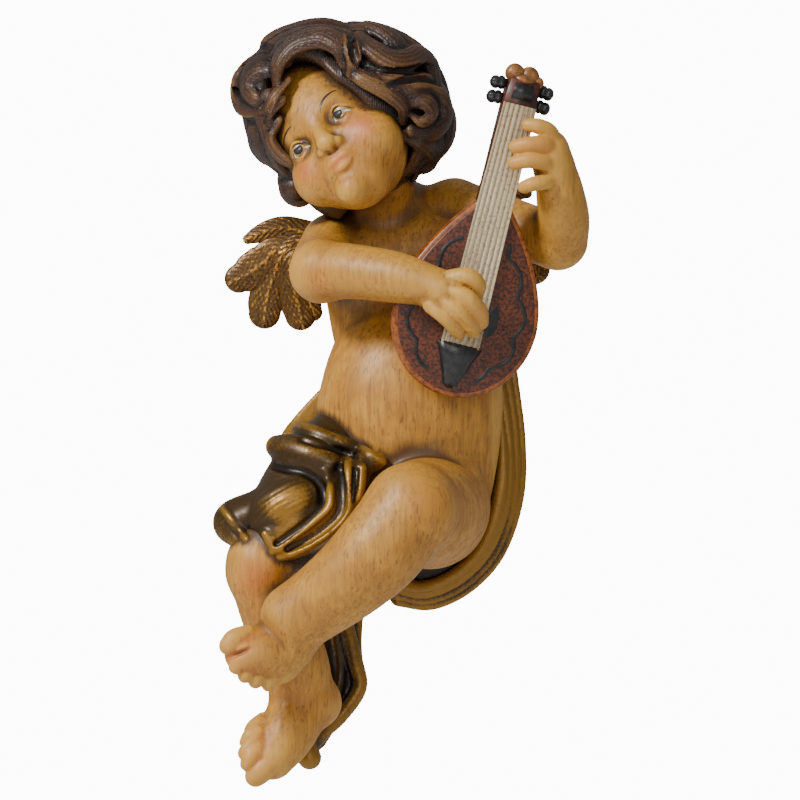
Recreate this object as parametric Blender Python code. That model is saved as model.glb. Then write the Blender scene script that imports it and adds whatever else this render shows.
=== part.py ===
"""A hanging cherub that plays a mandolin: carved wood, painted and gilded.

The frame: metres, +Z up, +X to the viewer's right, and the wall is the plane y = 0. The figure
lies at negative y. The origin is the middle of the flat pad of its upper back, which meets the wall.
"""
import math

import bmesh
import bpy
import numpy as np
from mathutils import Matrix, Vector

# Driving dimensions, in metres

FIGURE_HEIGHT = 0.193       # from the top lock of hair to the lower big toe
PIECE_GAP = 0.0003          # air between two pieces that touch

BODY_LENGTH = 0.0493        # mandolin body, tip to neck
BODY_WIDTH = 0.0372
BODY_DEPTH = 0.0085
BODY_RIM = 0.0026           # upright rim before the bowl starts to round
NECK_LENGTH = 0.0257        # from the body to the nut
NECK_WIDTH = 0.0088
NECK_DEPTH = 0.0044
FINGERBOARD_WIDTH = 0.0098
FINGERBOARD_LIFT = 0.0012   # how far it stands above the soundboard
HEADSTOCK_LENGTH = 0.0062
HEADSTOCK_WIDTH = 0.0084
PEG_LENGTH = 0.0042
PEG_RADIUS = 0.0015
FINIAL_RADIUS = 0.0033
TAILPIECE_LENGTH = 0.0112
TAILPIECE_FROM_EDGE = 0.0023
TAILPIECE_WIDTH = 0.0115
TAILPIECE_LIFT = 0.0016

WING_SPAN = 0.0270          # from the wing's root to the end of its long feather
WING_THICKNESS = 0.0032

FIGURE_GRAIN = 0.0009       # the finest form that the carving of the figure holds
WING_GRAIN = 0.0006
FIGURE_FACES = 7400
WING_FACES = 460
LIMB_SIDES = 16
PATH_STEPS = 4
SHARP_FROM = math.radians(50)
BALL_SEGMENTS = 20
BALL_RINGS = 12

# The figure's forms keep their proportions: each number below is a share of its height, written
# as the millimetres that it measures on a figure 193 mm high.

CARVING_UNIT = FIGURE_HEIGHT / 193
PAD_HEIGHT = -10            # up, of the middle of the flat pad on the back, where the origin is

# Rows of a limb: across, up, out from the wall, radius
TORSO_SQUEEZE = 0.72
TORSO = [
    (-2, 4.5, 10.4, 14.5), (-0.5, -3, 11.2, 19), (1.5, -14, 12.1, 19.5), (3.8, -25, 15.2, 20.2),
    (3, -36, 16.1, 22.8), (2, -45.5, 15.8, 23.3), (3, -54, 16, 21),
]

# Balls: centre, then half sizes across, out and up
TRUNK_BALLS = {
    "belly": ((0.5, -36, 21.5), (16, 12, 17)),
    "right_breast": ((-7, -2.5, 19.5), (12, 8, 10)),
    "left_breast": ((8, 0, 19.5), (12, 8, 10)),
    "right_kneecap": ((-36.5, -81.5, 32), (6.4, 6.4, 6.8)),
    "right_palm": ((11, -11.2, 51.2), (6.4, 3.8, 5.4)),
    "left_palm": ((38.2, 22, 44), (4.6, 4.8, 7.4)),
    "left_instep": ((-31, -102.5, 42), (6.3, 6.5, 6)),
    "right_heel": ((-19, -113.5, 22), (4.8, 5, 4.8)),
}

LIMBS = {
    "shoulders": [(-16, 1, 14.5, 7.5), (-2.5, 5.5, 13.5, 9), (13.7, 10.5, 14.5, 7)],
    "neck": [(-4, 9, 14.5, 10.3), (-5.5, 16, 19, 8.8), (-9, 25, 24, 9)],
    "right_upper_arm": [(-16.5, 1, 16, 8.5), (-19, -4, 27, 8.3), (-19.5, -5.5, 36, 7.7)],
    "right_forearm": [
        (-19.7, -5.3, 36, 7.7), (-12, -5.5, 42, 6.9), (-1.3, -7, 47.5, 6.4), (7, -9, 50.5, 5.2),
        (10, -10.3, 51.5, 5),
    ],
    "left_upper_arm": [(13.7, 10.5, 15, 7.6), (25, 7, 22, 7.2), (39, 2, 30, 6.9)],
    "left_forearm": [(40, 2.3, 30, 7), (40.7, 8, 36, 6.6), (39.7, 15, 41, 5.9), (38.7, 19.5, 43, 5.2)],
    "left_thigh": [
        (7, -55, 18, 14), (8, -64.5, 24, 14.6), (5.5, -65.5, 38, 13.2), (2.8, -64.5, 49, 11.2),
    ],
    "left_calf": [
        (2.6, -64.8, 50, 11.2), (-4.5, -74, 51, 11.2), (-11.5, -81, 50, 10.3), (-19.5, -87.3, 47, 9.3),
        (-26, -91.7, 45, 8.8),
    ],
    "left_foot": [
        (-26, -93, 44, 7.8), (-29.5, -99, 43.5, 7.6), (-34.5, -100, 46, 6.8),
        (-38.5, -100.5, 48.5, 5.2),
    ],
    "right_thigh": [(-11, -54, 18, 12), (-22.5, -66, 25, 11.5), (-34.5, -78, 31, 9)],
    "right_calf": [
        (-35.5, -81, 31, 7.4), (-30.8, -92, 29, 8.6), (-26, -104, 26, 8.3), (-24.8, -112.5, 24, 7.8),
    ],
    "right_foot": [(-24.5, -113.5, 24, 7.6), (-28.5, -121, 28, 7.2), (-32, -126.7, 31, 5.8)],
}

DIGITS = {
    "right_thumb": [
        (13.5, -7.5, 53.2, 2.4), (17.8, -6.9, 54.6, 2.3), (20.3, -9, 53.4, 2.1), (19.8, -11.4, 50.8, 1.9),
    ],
    "right_index": [
        (14, -10.5, 54.2, 2.4), (18, -12.4, 55.4, 2.2), (20.7, -15.6, 53.2, 2.1), (21.2, -18.2, 49.8, 1.9),
    ],
    "right_middle": [
        (12, -13, 54, 2.4), (15.6, -15.6, 55.2, 2.1), (18.4, -18.6, 53, 2), (19.2, -20.4, 49.8, 1.8),
    ],
    "right_ring": [
        (8.8, -14, 53.4, 2.2), (12, -16.8, 54.2, 2), (14.8, -19.8, 52.2, 1.8), (15.6, -21, 49.6, 1.6),
    ],
    "left_index": [(38.2, 26, 45, 2.3), (37.2, 29, 47, 2.2), (34.5, 30.5, 48.5, 2), (32, 30.8, 48, 1.8)],
    "left_middle": [
        (38.2, 24.5, 45.5, 2.4), (35.7, 26, 48.7, 2.2), (32, 26, 50, 2), (28.7, 25.4, 49, 1.8),
    ],
    "left_ring": [
        (38.2, 21, 45.5, 2.4), (35.7, 21.7, 48.5, 2.2), (32, 22, 49.8, 2), (28.5, 21.4, 48.8, 1.8),
    ],
    "left_little": [
        (38.2, 17.5, 45, 2.2), (36, 16.7, 47.8, 2), (33.2, 16.2, 48.8, 1.9), (30.7, 15.4, 48, 1.6),
    ],
    "left_big_toe": [(-38, -96.5, 48.5, 3.2), (-41, -97, 50.5, 2.8), (-42.5, -98.5, 51, 2.5)],
    "left_second_toe": [(-38, -100.5, 48.5, 2.5), (-40, -102.3, 50.5, 2.2), (-40.7, -103.7, 50.5, 2)],
    "left_third_toe": [(-36, -102.5, 47.5, 2.4), (-37.8, -104.5, 49.3, 2.1), (-38.5, -106, 49.3, 1.9)],
    "left_fourth_toe": [(-33.7, -104, 46.5, 2.4), (-35.3, -106, 48, 2.1), (-35.9, -107.4, 48, 1.9)],
    "left_fifth_toe": [(-31.2, -105, 45.3, 2.4), (-32.3, -107, 46.6, 2.1), (-32.7, -108.3, 46.6, 1.8)],
    "right_big_toe": [(-31, -126, 32, 3.6), (-34, -129.5, 34, 3.2), (-36, -131.4, 34, 2.8)],
    "right_second_toe": [(-34.5, -123.5, 33, 2.6), (-37, -126.5, 35, 2.3), (-38, -128.3, 35, 2)],
    "right_third_toe": [(-35, -121, 32, 2.4), (-37.5, -124, 34, 2.1), (-38.7, -125.7, 34, 1.9)],
    "right_fourth_toe": [(-34.7, -119, 30, 2.3), (-37.3, -121.2, 32, 2), (-38.4, -123, 32, 1.8)],
    "right_fifth_toe": [(-34.2, -117.7, 28, 2.2), (-36.4, -119, 30, 1.9), (-37.4, -120.2, 30, 1.7)],
}

# The head has a frame of its own: to its left, forward and up from a point behind the nose
HEAD_CENTRE = (-15.2, 27.8, 28)
HEAD_FORWARD = (-0.40, 0.21, 0.89)      # across, up, out
HEAD_LEFT = (0.77, 0.60, 0.21)
HEAD_BALLS = {
    "skull": ((0, -3, 7), (17, 18.3, 16.6)),
    "jaw": ((0, 3, -6), (15.3, 14, 15.7)),
    "right_cheek": ((-9, 9.5, -9.5), (7.2, 7.2, 7.6)),
    "left_cheek": ((9, 9.5, -9.5), (7.2, 7.2, 7.6)),
    "chin_pad": ((-0.5, 8.5, -17.8), (8, 7.2, 6.4)),
    "chin": ((-1.5, 13.2, -18.8), (3.9, 3.9, 3.7)),
    "muzzle": ((0.4, 12, -11.5), (6, 5.5, 5)),
    "right_eye": ((-7, 12.8, -2.6), (3.6, 3, 3)),
    "left_eye": ((7, 12.8, -1.4), (3.6, 3, 3)),
    "nose_tip": ((0.8, 19, -7.8), (2.4, 2.2, 2)),
    "right_nostril": ((-1.7, 17.3, -8.4), (1.6, 1.9, 1.4)),
    "left_nostril": ((3.1, 17.3, -8), (1.6, 1.9, 1.4)),
    "left_ear": ((16.5, -2.5, -5), (1.8, 2.7, 3.5)),
}
FACE_RIDGES = {
    "nose_bridge": [(0, 15, 1.7, 1.7), (0.3, 17, -3, 1.7), (0.8, 19.2, -6.8, 2.1)],
    "upper_lip": [
        (-3.2, 16, -12.4, 0.7), (-1.2, 17.2, -11.7, 1.2), (2.6, 17.2, -11.6, 1.2),
        (4.6, 16, -12.2, 0.7),
    ],
    "lower_lip": [(-2.5, 16, -13.4, 0.7), (0.6, 17.1, -14.3, 1.4), (3.8, 16, -13.3, 0.7)],
}

# Hair: a cap round the skull, and locks that lie on it. Rows of a lock: across, up, radius
HAIR_CENTRE = (-13.5, 35.5, 26)
HAIR_HALF_SIZE = (25, 21.6, 20.5)       # across, up, out
HAIR_CAP_DEPTH = 1.9                    # how far the cap lies under the locks
FACE_OPENING = ((0, 17, -7), (14.5, 15, 20))
FRONT_LOCKS = {
    "crown_left": (0, [(-11, 57.5, 1.6), (-20, 56.5, 2), (-28, 54.8, 1.9), (-34.5, 53.6, 1.2)]),
    "forelock_left": (1, [(-11.5, 54.5, 1.4), (-21, 53.5, 2), (-31, 50.6, 2), (-37, 47, 1.4)]),
    "temple_curl": (1.2, [
        (-20.5, 51, 1.5), (-30, 49.5, 2.2), (-37, 46, 2.3), (-39, 40.5, 2.3), (-37, 36, 1.9),
        (-33.6, 34.6, 1),
    ]),
    "temple_curl_heart": (1.8, [(-25, 49.5, 1.3), (-29, 46, 2), (-33, 41.5, 2.1), (-36, 39.5, 1)]),
    "fringe": (0, [(-17.5, 51.5, 1.5), (-24, 49, 1.8), (-28, 45, 1.8), (-31, 39, 1.5), (-34, 34.5, 0.8)]),
    "brow_lock": (1.5, [(-25, 50, 1), (-19.5, 51, 1.7), (-15.5, 48.5, 1.7), (-13.8, 44.5, 0.9)]),
    "parting": (0.8, [
        (-12, 57, 1.5), (-12, 51, 2), (-8.5, 47, 2), (-2, 44, 1.8), (2.5, 46, 1.6), (5, 48.5, 1),
    ]),
    "crown_right": (0, [(-11, 57.5, 1.7), (-3.8, 54.5, 2.3), (0.5, 50, 2.4), (6, 47.5, 2.2), (9, 43, 1)]),
    "over_ear": (0.3, [(-14, 47, 1), (-8, 42, 2), (-0.5, 39.5, 2.2), (3.5, 35, 2), (3, 29.5, 1)]),
    "neck_curl": (0.5, [
        (0.5, 41.5, 1.5), (7, 40, 2.4), (11.5, 35, 2.6), (12.2, 28.5, 2.6), (9.5, 23, 2.2),
        (5.5, 21, 1),
    ]),
    "neck_curl_heart": (1.5, [
        (-2, 39.5, 1.2), (5, 37.5, 2), (8.5, 32.5, 2.2), (7.5, 27, 2), (4.5, 24.5, 1),
    ]),
    "under_ear": (-2, [(3, 29.5, 1.7), (5, 25, 2.2), (7, 21, 2), (5, 18.5, 1)]),
    "jaw_curl": (0.3, [
        (-34.5, 35.5, 1.5), (-36.3, 30.5, 2), (-35.3, 25, 2.2), (-32, 22, 1.7), (-27.5, 21, 1),
    ]),
    "jaw_curl_heart": (0, [(-32, 34.5, 1.2), (-32, 28.7, 1.5), (-28.5, 23.7, 1.5), (-24.5, 19.5, 1)]),
    "chin_curl": (0, [
        (-27, 21, 1.3), (-29.2, 17, 1.6), (-28.2, 13.2, 1.7), (-24.5, 12, 1.6), (-22.8, 14.5, 1.3),
    ]),
    "nape": (-2, [(-23.7, 18, 1.4), (-20.5, 13.7, 1.7), (-17.5, 11.5, 1.2)]),
}
BACK_LOCKS = 13
BACK_LOCK_RADIUS = 2.6
BACK_LOCK_STEPS = 12
BACK_LOCK_SPREAD = 108      # degrees from the middle of the back of the head to the last lock
BACK_LOCK_TOP = 74          # degrees above the middle of the head, where a lock starts
BACK_LOCK_FALL = 118        # degrees down to its tip
BACK_LOCK_SWAY = 11         # degrees that it waves to each side
BACK_LOCK_WAVES = 1.1
BACK_LOCK_TURN = 75         # degrees by which each lock's wave runs ahead of its neighbour's
BACK_LOCK_ENDS = 0.55       # radius at its two ends, as a share

# Drapery
HIP_CLOTH = [(-13.5, -49.5, 18, 11), (-20.5, -57, 23, 12), (-26, -65.5, 28, 11.6), (-28.3, -71, 30, 10.2)]
CLOTH_FOLDS = {
    "top_hem": [
        (-30.5, -48, 17, 2.3), (-26.5, -47, 24, 2.8), (-20, -48.5, 31, 3), (-12.5, -51, 35, 2.6),
        (-4.5, -53.4, 37, 1.4),
    ],
    "upper_roll": [
        (-30.7, -49.2, 25, 3), (-27, -50.2, 28.5, 4.2), (-22, -51.6, 31.5, 4.4), (-17.5, -53.5, 33, 3.2),
    ],
    "skirt": [
        (-5.5, -52.7, 33.5, 2.2), (-10.5, -55, 33.5, 4), (-13, -61, 35, 5.2), (-17, -67.5, 36.2, 5.4),
        (-23.5, -72, 36.5, 4.8), (-29.5, -74.7, 36, 3.4),
    ],
    "long_fold": [
        (-18.5, -54.5, 36, 2), (-16, -62, 39, 2.4), (-20, -69.5, 40, 2.4), (-29, -74.5, 39.5, 2.2),
        (-35, -75, 37, 1.8),
    ],
    "thigh_fold": [
        (-12, -52, 35, 1.8), (-11.5, -60, 38.5, 2.3), (-14.5, -67.5, 40, 2.1), (-21, -74.5, 40, 2),
        (-29, -77, 37.5, 1.7),
    ],
    "inner_fold": [(-7, -53, 34, 1.4), (-9, -60, 37, 1.7), (-13.5, -68.5, 39, 1.6), (-19, -75, 38, 1.4)],
    "side_facet": [(-33, -66, 30, 6.2), (-38, -67.5, 29, 5.6), (-41.4, -68.6, 28.5, 5)],
    "side_tip": [
        (-35.5, -62.5, 29, 2.6), (-42.5, -65.2, 28, 2.6), (-44, -68.6, 28.5, 2.5), (-40.5, -72.3, 32, 2.5),
        (-35, -75, 35, 2),
    ],
    "flap": [(-33.5, -67.5, 33.5, 4.8), (-30, -65, 34.8, 6), (-26.3, -62.9, 35, 6), (-23, -61.4, 34.6, 4.8)],
}
SHEET_SQUEEZE = 0.3
CLOTH_SHEETS = {
    "seat": [(5, -37, 6, 20.5), (7, -50, 6, 22.5), (7.5, -65, 7, 20), (7, -74, 8, 12.5)],
    "hip": [(-18, -36, 6, 2.6), (-24, -44, 8, 3.6), (-25.5, -50, 11, 5.5), (-21, -57, 12, 8)],
    "tail": [
        (-5, -82, 8, 5), (-13, -88.5, 8.5, 5), (-15.5, -98, 9, 6), (-15.5, -107, 10, 6),
        (-19.5, -116, 12, 5), (-22, -122, 14, 4),
    ],
}
# The gathered band that hangs behind the thigh. Rows: across, up, radius
BAND_FOLDS = 4
BAND_SPACING = 1.75         # from one fold to the next
BAND_THINNING = 0.2         # what each fold loses in radius
BAND_STEP = 1.2             # how much further out each fold lies
BAND_OUT = 10
BAND_FALL = 0.9             # how much of the spacing is upward at the gathered end
BAND_GATHER = 0.7           # share of the spacing that is lost sideways there
BAND = [
    (29.3, -34, 0.9), (30, -47.5, 1.6), (29, -62, 2.4), (24.5, -75.5, 2.4), (17, -84, 2.4), (8, -88.3, 2.4),
    (0, -87.5, 2.4),
]
TAIL_FOLDS = {
    "tail_edge": [
        (-14, -92, 13, 1.8), (-11.3, -103, 12.5, 2), (-10.3, -110, 12.5, 2), (-15, -117, 14.5, 1.9),
        (-20, -121.5, 16.5, 1.8),
    ],
    "tail_inner": [(-16.5, -94, 12, 1.6), (-15, -106, 11, 1.7), (-16.5, -113, 12.5, 1.6)],
    "tail_roll": [(-20.5, -120.5, 15, 2.6), (-23.7, -124.5, 18, 3.4), (-22.7, -127.3, 19, 3)],
}

# The mandolin's place: the middle of the soundboard, the way up its neck and the way it faces
MANDOLIN_PLACE = (16.5, -17, 42.5)
MANDOLIN_UP = (0.2425, 0.970, 0.05)     # across, up, out
MANDOLIN_FACE = (0.22, 0, 0.97)
TEARDROP_POWER = 1.75
BOWL_ANGLES = (0.4, 0.8, 1.15)          # radians round the bowl's profile
NECK_HEEL = 0.002           # how far the neck reaches into the body
PART_SINK = 0.0008          # how far the mandolin's small parts sink into each other
TAILPIECE_TIP = 0.2         # width of the tip, as a share
PEG_PLACES = (0.1, 0.7)     # along the headstock
PEG_SHAFT = 0.7             # its thickness, as a share of the knob's
PEG_SIDES = 10
BODY_BELOW = 0.41           # share of the body's length that lies below its widest place

# A wing spreads from its root. Rows of a feather, as shares of the span: across, up, radius
WING_ROOT = (-17, 2, 4.2)
FEATHERS = [
    [
        (0.14, 0.02, 0.10), (-0.31, 0.115, 0.10), (-0.44, 0.148, 0.092), (-0.574, 0.14, 0.085),
        (-0.707, 0.081, 0.065), (-0.79, 0.04, 0.045),
    ],
    [
        (0.14, 0, 0.09), (-0.459, -0.041, 0.10), (-0.64, -0.17, 0.15), (-0.78, -0.28, 0.165),
        (-0.875, -0.33, 0.13),
    ],
    [
        (0.12, -0.02, 0.09), (-0.42, -0.10, 0.10), (-0.56, -0.33, 0.13), (-0.62, -0.54, 0.16),
        (-0.635, -0.65, 0.15),
    ],
    [
        (0.12, -0.03, 0.08), (-0.38, -0.122, 0.08), (-0.374, -0.356, 0.115), (-0.326, -0.563, 0.148),
        (-0.30, -0.67, 0.145),
    ],
    [(0.12, -0.06, 0.08), (-0.293, -0.30, 0.09), (-0.226, -0.52, 0.105), (-0.178, -0.644, 0.085)],
]
FIGURE_MIDDLE = -0.5        # across, of the line that the wings mirror about
SHOULDER_SLOPE = math.radians(18)
LEFT_WING_SHIFT = -2.5

FLESH_PAINT = (0.58, 0.36, 0.16)
BOARD_PAINT = (0.25, 0.07, 0.04)
WING_GILDING = (0.50, 0.32, 0.10)


def start_clean():
    """Empty the scene."""
    for thing in list(bpy.data.objects):
        bpy.data.objects.remove(thing)


def place(across, up, out):
    """The point of the scene for a point of the carving."""
    return Vector((across, -out, up - PAD_HEIGHT)) * CARVING_UNIT


def frame_of(left, forward):
    """The three unit directions of the head: its left, forward and up."""
    forward = Vector((forward[0], -forward[2], forward[1])).normalized()
    left = Vector((left[0], -left[2], left[1]))
    left = (left - left.dot(forward) * forward).normalized()
    return left, forward, left.cross(forward) * -1


def head_place(left, forward, up):
    """The point of the scene for a point given in the head's own frame."""
    x, y, z = frame_of(HEAD_LEFT, HEAD_FORWARD)
    return place(*HEAD_CENTRE) + (x * left + y * forward + z * up) * CARVING_UNIT


def smooth_rows(rows):
    """Rows along a Catmull-Rom curve through the given rows, PATH_STEPS to each stretch."""
    points = np.array(rows, float)
    first = 2 * points[0] - points[1]
    last = 2 * points[-1] - points[-2]
    padded = np.vstack([first, points, last])
    result = []
    for i in range(1, len(padded) - 2):
        a, b, c, d = padded[i - 1:i + 3]
        for t in np.arange(PATH_STEPS) / PATH_STEPS:
            bend = (2 * a - 5 * b + 4 * c - d) * t ** 2 + (3 * b - a - 3 * c + d) * t ** 3
            result.append(b + ((c - a) * t + bend) / 2)
    result.append(points[-1])
    return result


def add_ball(mesh, centre, half_sizes, axes=None):
    """An ellipsoid. Its half sizes lie along the three axes."""
    turn = Matrix.Identity(4) if axes is None else Matrix(axes).transposed().to_4x4()
    if turn.determinant() < 0:
        turn.col[2] = -turn.col[2]
    shape = Matrix.Translation(centre) @ turn @ Matrix.Diagonal((*half_sizes, 1))
    bmesh.ops.create_uvsphere(mesh, u_segments=BALL_SEGMENTS, v_segments=BALL_RINGS, radius=1, matrix=shape)


def add_limb(mesh, centres, radii, squeeze=1.0):
    """Rings carried along a path without twist, with a ball at each end, squeezed toward the wall."""
    flat = Matrix.Diagonal((1, squeeze, 1, 1))
    rings = []
    ahead = (centres[1] - centres[0]).normalized()
    across = ahead.orthogonal().normalized()
    for i, centre in enumerate(centres):
        heading = (centres[min(i + 1, len(centres) - 1)] - centres[max(i - 1, 0)]).normalized()
        across.rotate(ahead.rotation_difference(heading))
        ahead = heading
        beside = ahead.cross(across)
        ring = []
        for k in range(LIMB_SIDES):
            angle = 2 * math.pi * k / LIMB_SIDES
            offset = (across * math.cos(angle) + beside * math.sin(angle)) * radii[i]
            ring.append(mesh.verts.new(centre + flat @ offset))
        rings.append(ring)
    for near, far in zip(rings, rings[1:]):
        for k, vert in enumerate(near):
            mesh.faces.new((near[k - 1], vert, far[k], far[k - 1]))
    mesh.faces.new(reversed(rings[0]))
    mesh.faces.new(rings[-1])
    for i in (0, -1):
        bmesh.ops.create_icosphere(
            mesh, subdivisions=2, radius=radii[i], matrix=Matrix.Translation(centres[i]) @ flat)


def add_rows(mesh, rows, squeeze=1.0):
    """A limb from rows of across, up, out, radius."""
    rows = smooth_rows(rows)
    centres = [place(*row[:3]) for row in rows]
    radii = [row[3] * CARVING_UNIT for row in rows]
    add_limb(mesh, centres, radii, squeeze)


def on_hair(across, up, lift):
    """The point of the hair's egg at a place of the front view, lifted off it."""
    wide, high, deep = HAIR_HALF_SIZE
    x = (across - HAIR_CENTRE[0]) / wide
    z = (up - HAIR_CENTRE[1]) / high
    out = deep * math.sqrt(max(0.0, 1 - x * x - z * z))
    offset = Vector((across - HAIR_CENTRE[0], up - HAIR_CENTRE[1], out))
    offset *= 1 + lift / offset.length
    return place(*(Vector(HAIR_CENTRE) + offset))


def add_back_locks(mesh):
    """Waving locks that fall from the crown down the back of the head, side by side."""
    wide, high, deep = HAIR_HALF_SIZE
    for i in range(BACK_LOCKS):
        around = math.radians(BACK_LOCK_SPREAD * (2 * i / (BACK_LOCKS - 1) - 1))
        centres = []
        radii = []
        for k in range(BACK_LOCK_STEPS + 1):
            fall = k / BACK_LOCK_STEPS
            rise = math.radians(BACK_LOCK_TOP - BACK_LOCK_FALL * fall)
            wave = 2 * math.pi * BACK_LOCK_WAVES * fall + math.radians(BACK_LOCK_TURN) * i
            angle = around + math.radians(BACK_LOCK_SWAY) * math.sin(wave)
            level = math.cos(rise)
            across = wide * level * math.sin(angle)
            out = -deep * level * math.cos(angle)
            offset = Vector((across, high * math.sin(rise), out))
            centres.append(place(*(Vector(HAIR_CENTRE) + offset)))
            fullness = BACK_LOCK_ENDS + (1 - BACK_LOCK_ENDS) * math.sin(math.pi * fall)
            radii.append(BACK_LOCK_RADIUS * CARVING_UNIT * fullness)
        add_limb(mesh, centres, radii)


def make_hair_cap():
    """The mass under the locks: an egg round the skull, with the opening of the face cut out."""
    cap = bmesh.new()
    wide, high, deep = (half - HAIR_CAP_DEPTH for half in HAIR_HALF_SIZE)
    add_ball(cap, place(*HAIR_CENTRE), Vector((wide, deep, high)) * CARVING_UNIT)
    opening = bmesh.new()
    centre, half_sizes = FACE_OPENING
    axes = frame_of(HEAD_LEFT, HEAD_FORWARD)
    add_ball(opening, head_place(*centre), Vector(half_sizes) * CARVING_UNIT, axes)
    cap = put_in_scene(cap, "hair_cap")
    opening = hide_tool(put_in_scene(opening, "face_opening"))
    cut(cap, opening)
    apply_modifiers(cap)
    bpy.data.objects.remove(opening)
    return cap


def add_hair(mesh):
    """The cap and the locks."""
    cap = make_hair_cap()
    mesh.from_mesh(cap.data)
    bpy.data.objects.remove(cap)
    for lift, rows in FRONT_LOCKS.values():
        rows = smooth_rows(rows)
        centres = [on_hair(row[0], row[1], lift) for row in rows]
        add_limb(mesh, centres, [row[2] * CARVING_UNIT for row in rows])
    add_back_locks(mesh)


def add_head(mesh):
    """Skull, face and ear."""
    axes = frame_of(HEAD_LEFT, HEAD_FORWARD)
    for centre, half_sizes in HEAD_BALLS.values():
        add_ball(mesh, head_place(*centre), Vector(half_sizes) * CARVING_UNIT, axes)
    for rows in FACE_RIDGES.values():
        rows = smooth_rows(rows)
        add_limb(mesh, [head_place(*row[:3]) for row in rows], [row[3] * CARVING_UNIT for row in rows])


def add_cloth(mesh):
    """The drapery: a mass at the hip, folds on it, flat sheets behind, and the gathered band."""
    add_rows(mesh, HIP_CLOTH)
    for rows in (*CLOTH_FOLDS.values(), *TAIL_FOLDS.values()):
        add_rows(mesh, rows)
    for rows in CLOTH_SHEETS.values():
        add_rows(mesh, rows, SHEET_SQUEEZE)
    for i in range(BAND_FOLDS):
        inward = BAND_SPACING * i
        rows = []
        for k, (across, up, radius) in enumerate(BAND):
            along = k / (len(BAND) - 1)
            across -= inward * (1 - BAND_GATHER * along)
            up += inward * BAND_FALL * along
            rows.append((across, up, BAND_OUT + BAND_STEP * i, radius - BAND_THINNING * i))
        add_rows(mesh, rows)


def add_body(mesh):
    """Trunk, arms and legs."""
    add_rows(mesh, TORSO, TORSO_SQUEEZE)
    for centre, half_sizes in TRUNK_BALLS.values():
        add_ball(mesh, place(*centre), Vector(half_sizes) * CARVING_UNIT)
    for rows in (*LIMBS.values(), *DIGITS.values()):
        add_rows(mesh, rows)


def put_in_scene(mesh, name):
    """An object with the bmesh's faces."""
    data = bpy.data.meshes.new(name)
    bmesh.ops.recalc_face_normals(mesh, faces=mesh.faces)
    mesh.to_mesh(data)
    mesh.free()
    thing = bpy.data.objects.new(name, data)
    bpy.context.scene.collection.objects.link(thing)
    return thing


def add_modifier(thing, kind, **settings):
    """A modifier with its settings."""
    modifier = thing.modifiers.new(kind.title(), kind)
    for key, value in settings.items():
        setattr(modifier, key, value)
    return modifier


def apply_modifiers(thing):
    """Replace the mesh by what its modifiers make of it."""
    bpy.context.view_layer.update()
    seen = thing.evaluated_get(bpy.context.evaluated_depsgraph_get())
    data = bpy.data.meshes.new_from_object(seen)
    thing.modifiers.clear()
    thing.data = data


def fuse(thing, grain, faces, smoothing):
    """Make one skin of the overlapping forms, round it, and thin it to about the given faces."""
    add_modifier(thing, "REMESH", mode="VOXEL", voxel_size=grain)
    add_modifier(thing, "SMOOTH", factor=0.5, iterations=smoothing)
    apply_modifiers(thing)
    triangles = 2 * len(thing.data.polygons)
    add_modifier(thing, "DECIMATE", ratio=min(1, faces / triangles), use_collapse_triangulate=True)
    apply_modifiers(thing)


def make_cutter(thing, name, gap):
    """A hidden copy of a piece, grown by the gap."""
    cutter = bpy.data.objects.new(name, thing.data.copy())
    bpy.context.scene.collection.objects.link(cutter)
    add_modifier(cutter, "DISPLACE", strength=gap, mid_level=0)
    return hide_tool(cutter)


def hide_tool(thing):
    """Mark a cutter, which is no part of the object."""
    thing.hide_render = True
    thing.display_type = "WIRE"
    return thing


def cut(thing, cutter):
    """Take the cutter's shape away."""
    add_modifier(thing, "BOOLEAN", operation="DIFFERENCE", solver="EXACT", object=cutter)


def make_wall():
    """The space behind the wall plane, which flattens the back."""
    reach = FIGURE_HEIGHT
    return make_box("wall_cutter", (-reach, 0, -reach), (reach, reach, reach))


def finish(thing, colour, roughness, metallic):
    """One material, and shading that is smooth but for sharp edges."""
    material = bpy.data.materials.new(thing.name)
    material.use_nodes = True
    shader = material.node_tree.nodes["Principled BSDF"]
    shader.inputs["Base Color"].default_value = (*colour, 1)
    shader.inputs["Roughness"].default_value = roughness
    shader.inputs["Metallic"].default_value = metallic
    thing.data.materials.clear()
    thing.data.materials.append(material)
    thing.data.shade_smooth()
    thing.data.set_sharp_from_angle(angle=SHARP_FROM)


def mandolin_frame():
    """The matrix of the mandolin: x across it, y out of its face, z up its neck."""
    up = Vector((MANDOLIN_UP[0], -MANDOLIN_UP[2], MANDOLIN_UP[1])).normalized()
    face = Vector((MANDOLIN_FACE[0], -MANDOLIN_FACE[2], MANDOLIN_FACE[1]))
    face = (face - face.dot(up) * up).normalized()
    turn = Matrix((face.cross(up), face, up)).transposed().to_4x4()
    return Matrix.Translation(place(*MANDOLIN_PLACE)) @ turn


def teardrop(steps=9):
    """The outline of the body: half an ellipse below, and a curve that narrows to the neck."""
    below = BODY_BELOW * BODY_LENGTH
    above = BODY_LENGTH - below
    half = BODY_WIDTH / 2
    narrow = NECK_WIDTH / 2
    side = []
    for i in range(steps + 1):
        angle = -math.pi / 2 + math.pi / 2 * i / steps
        side.append((half * math.cos(angle), below * math.sin(angle)))
    for i in range(1, steps + 1):
        along = i / steps
        side.append((narrow + (half - narrow) * (1 - along ** TEARDROP_POWER), above * along))
    return side + [(-x, z) for x, z in reversed(side[1:])]


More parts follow.
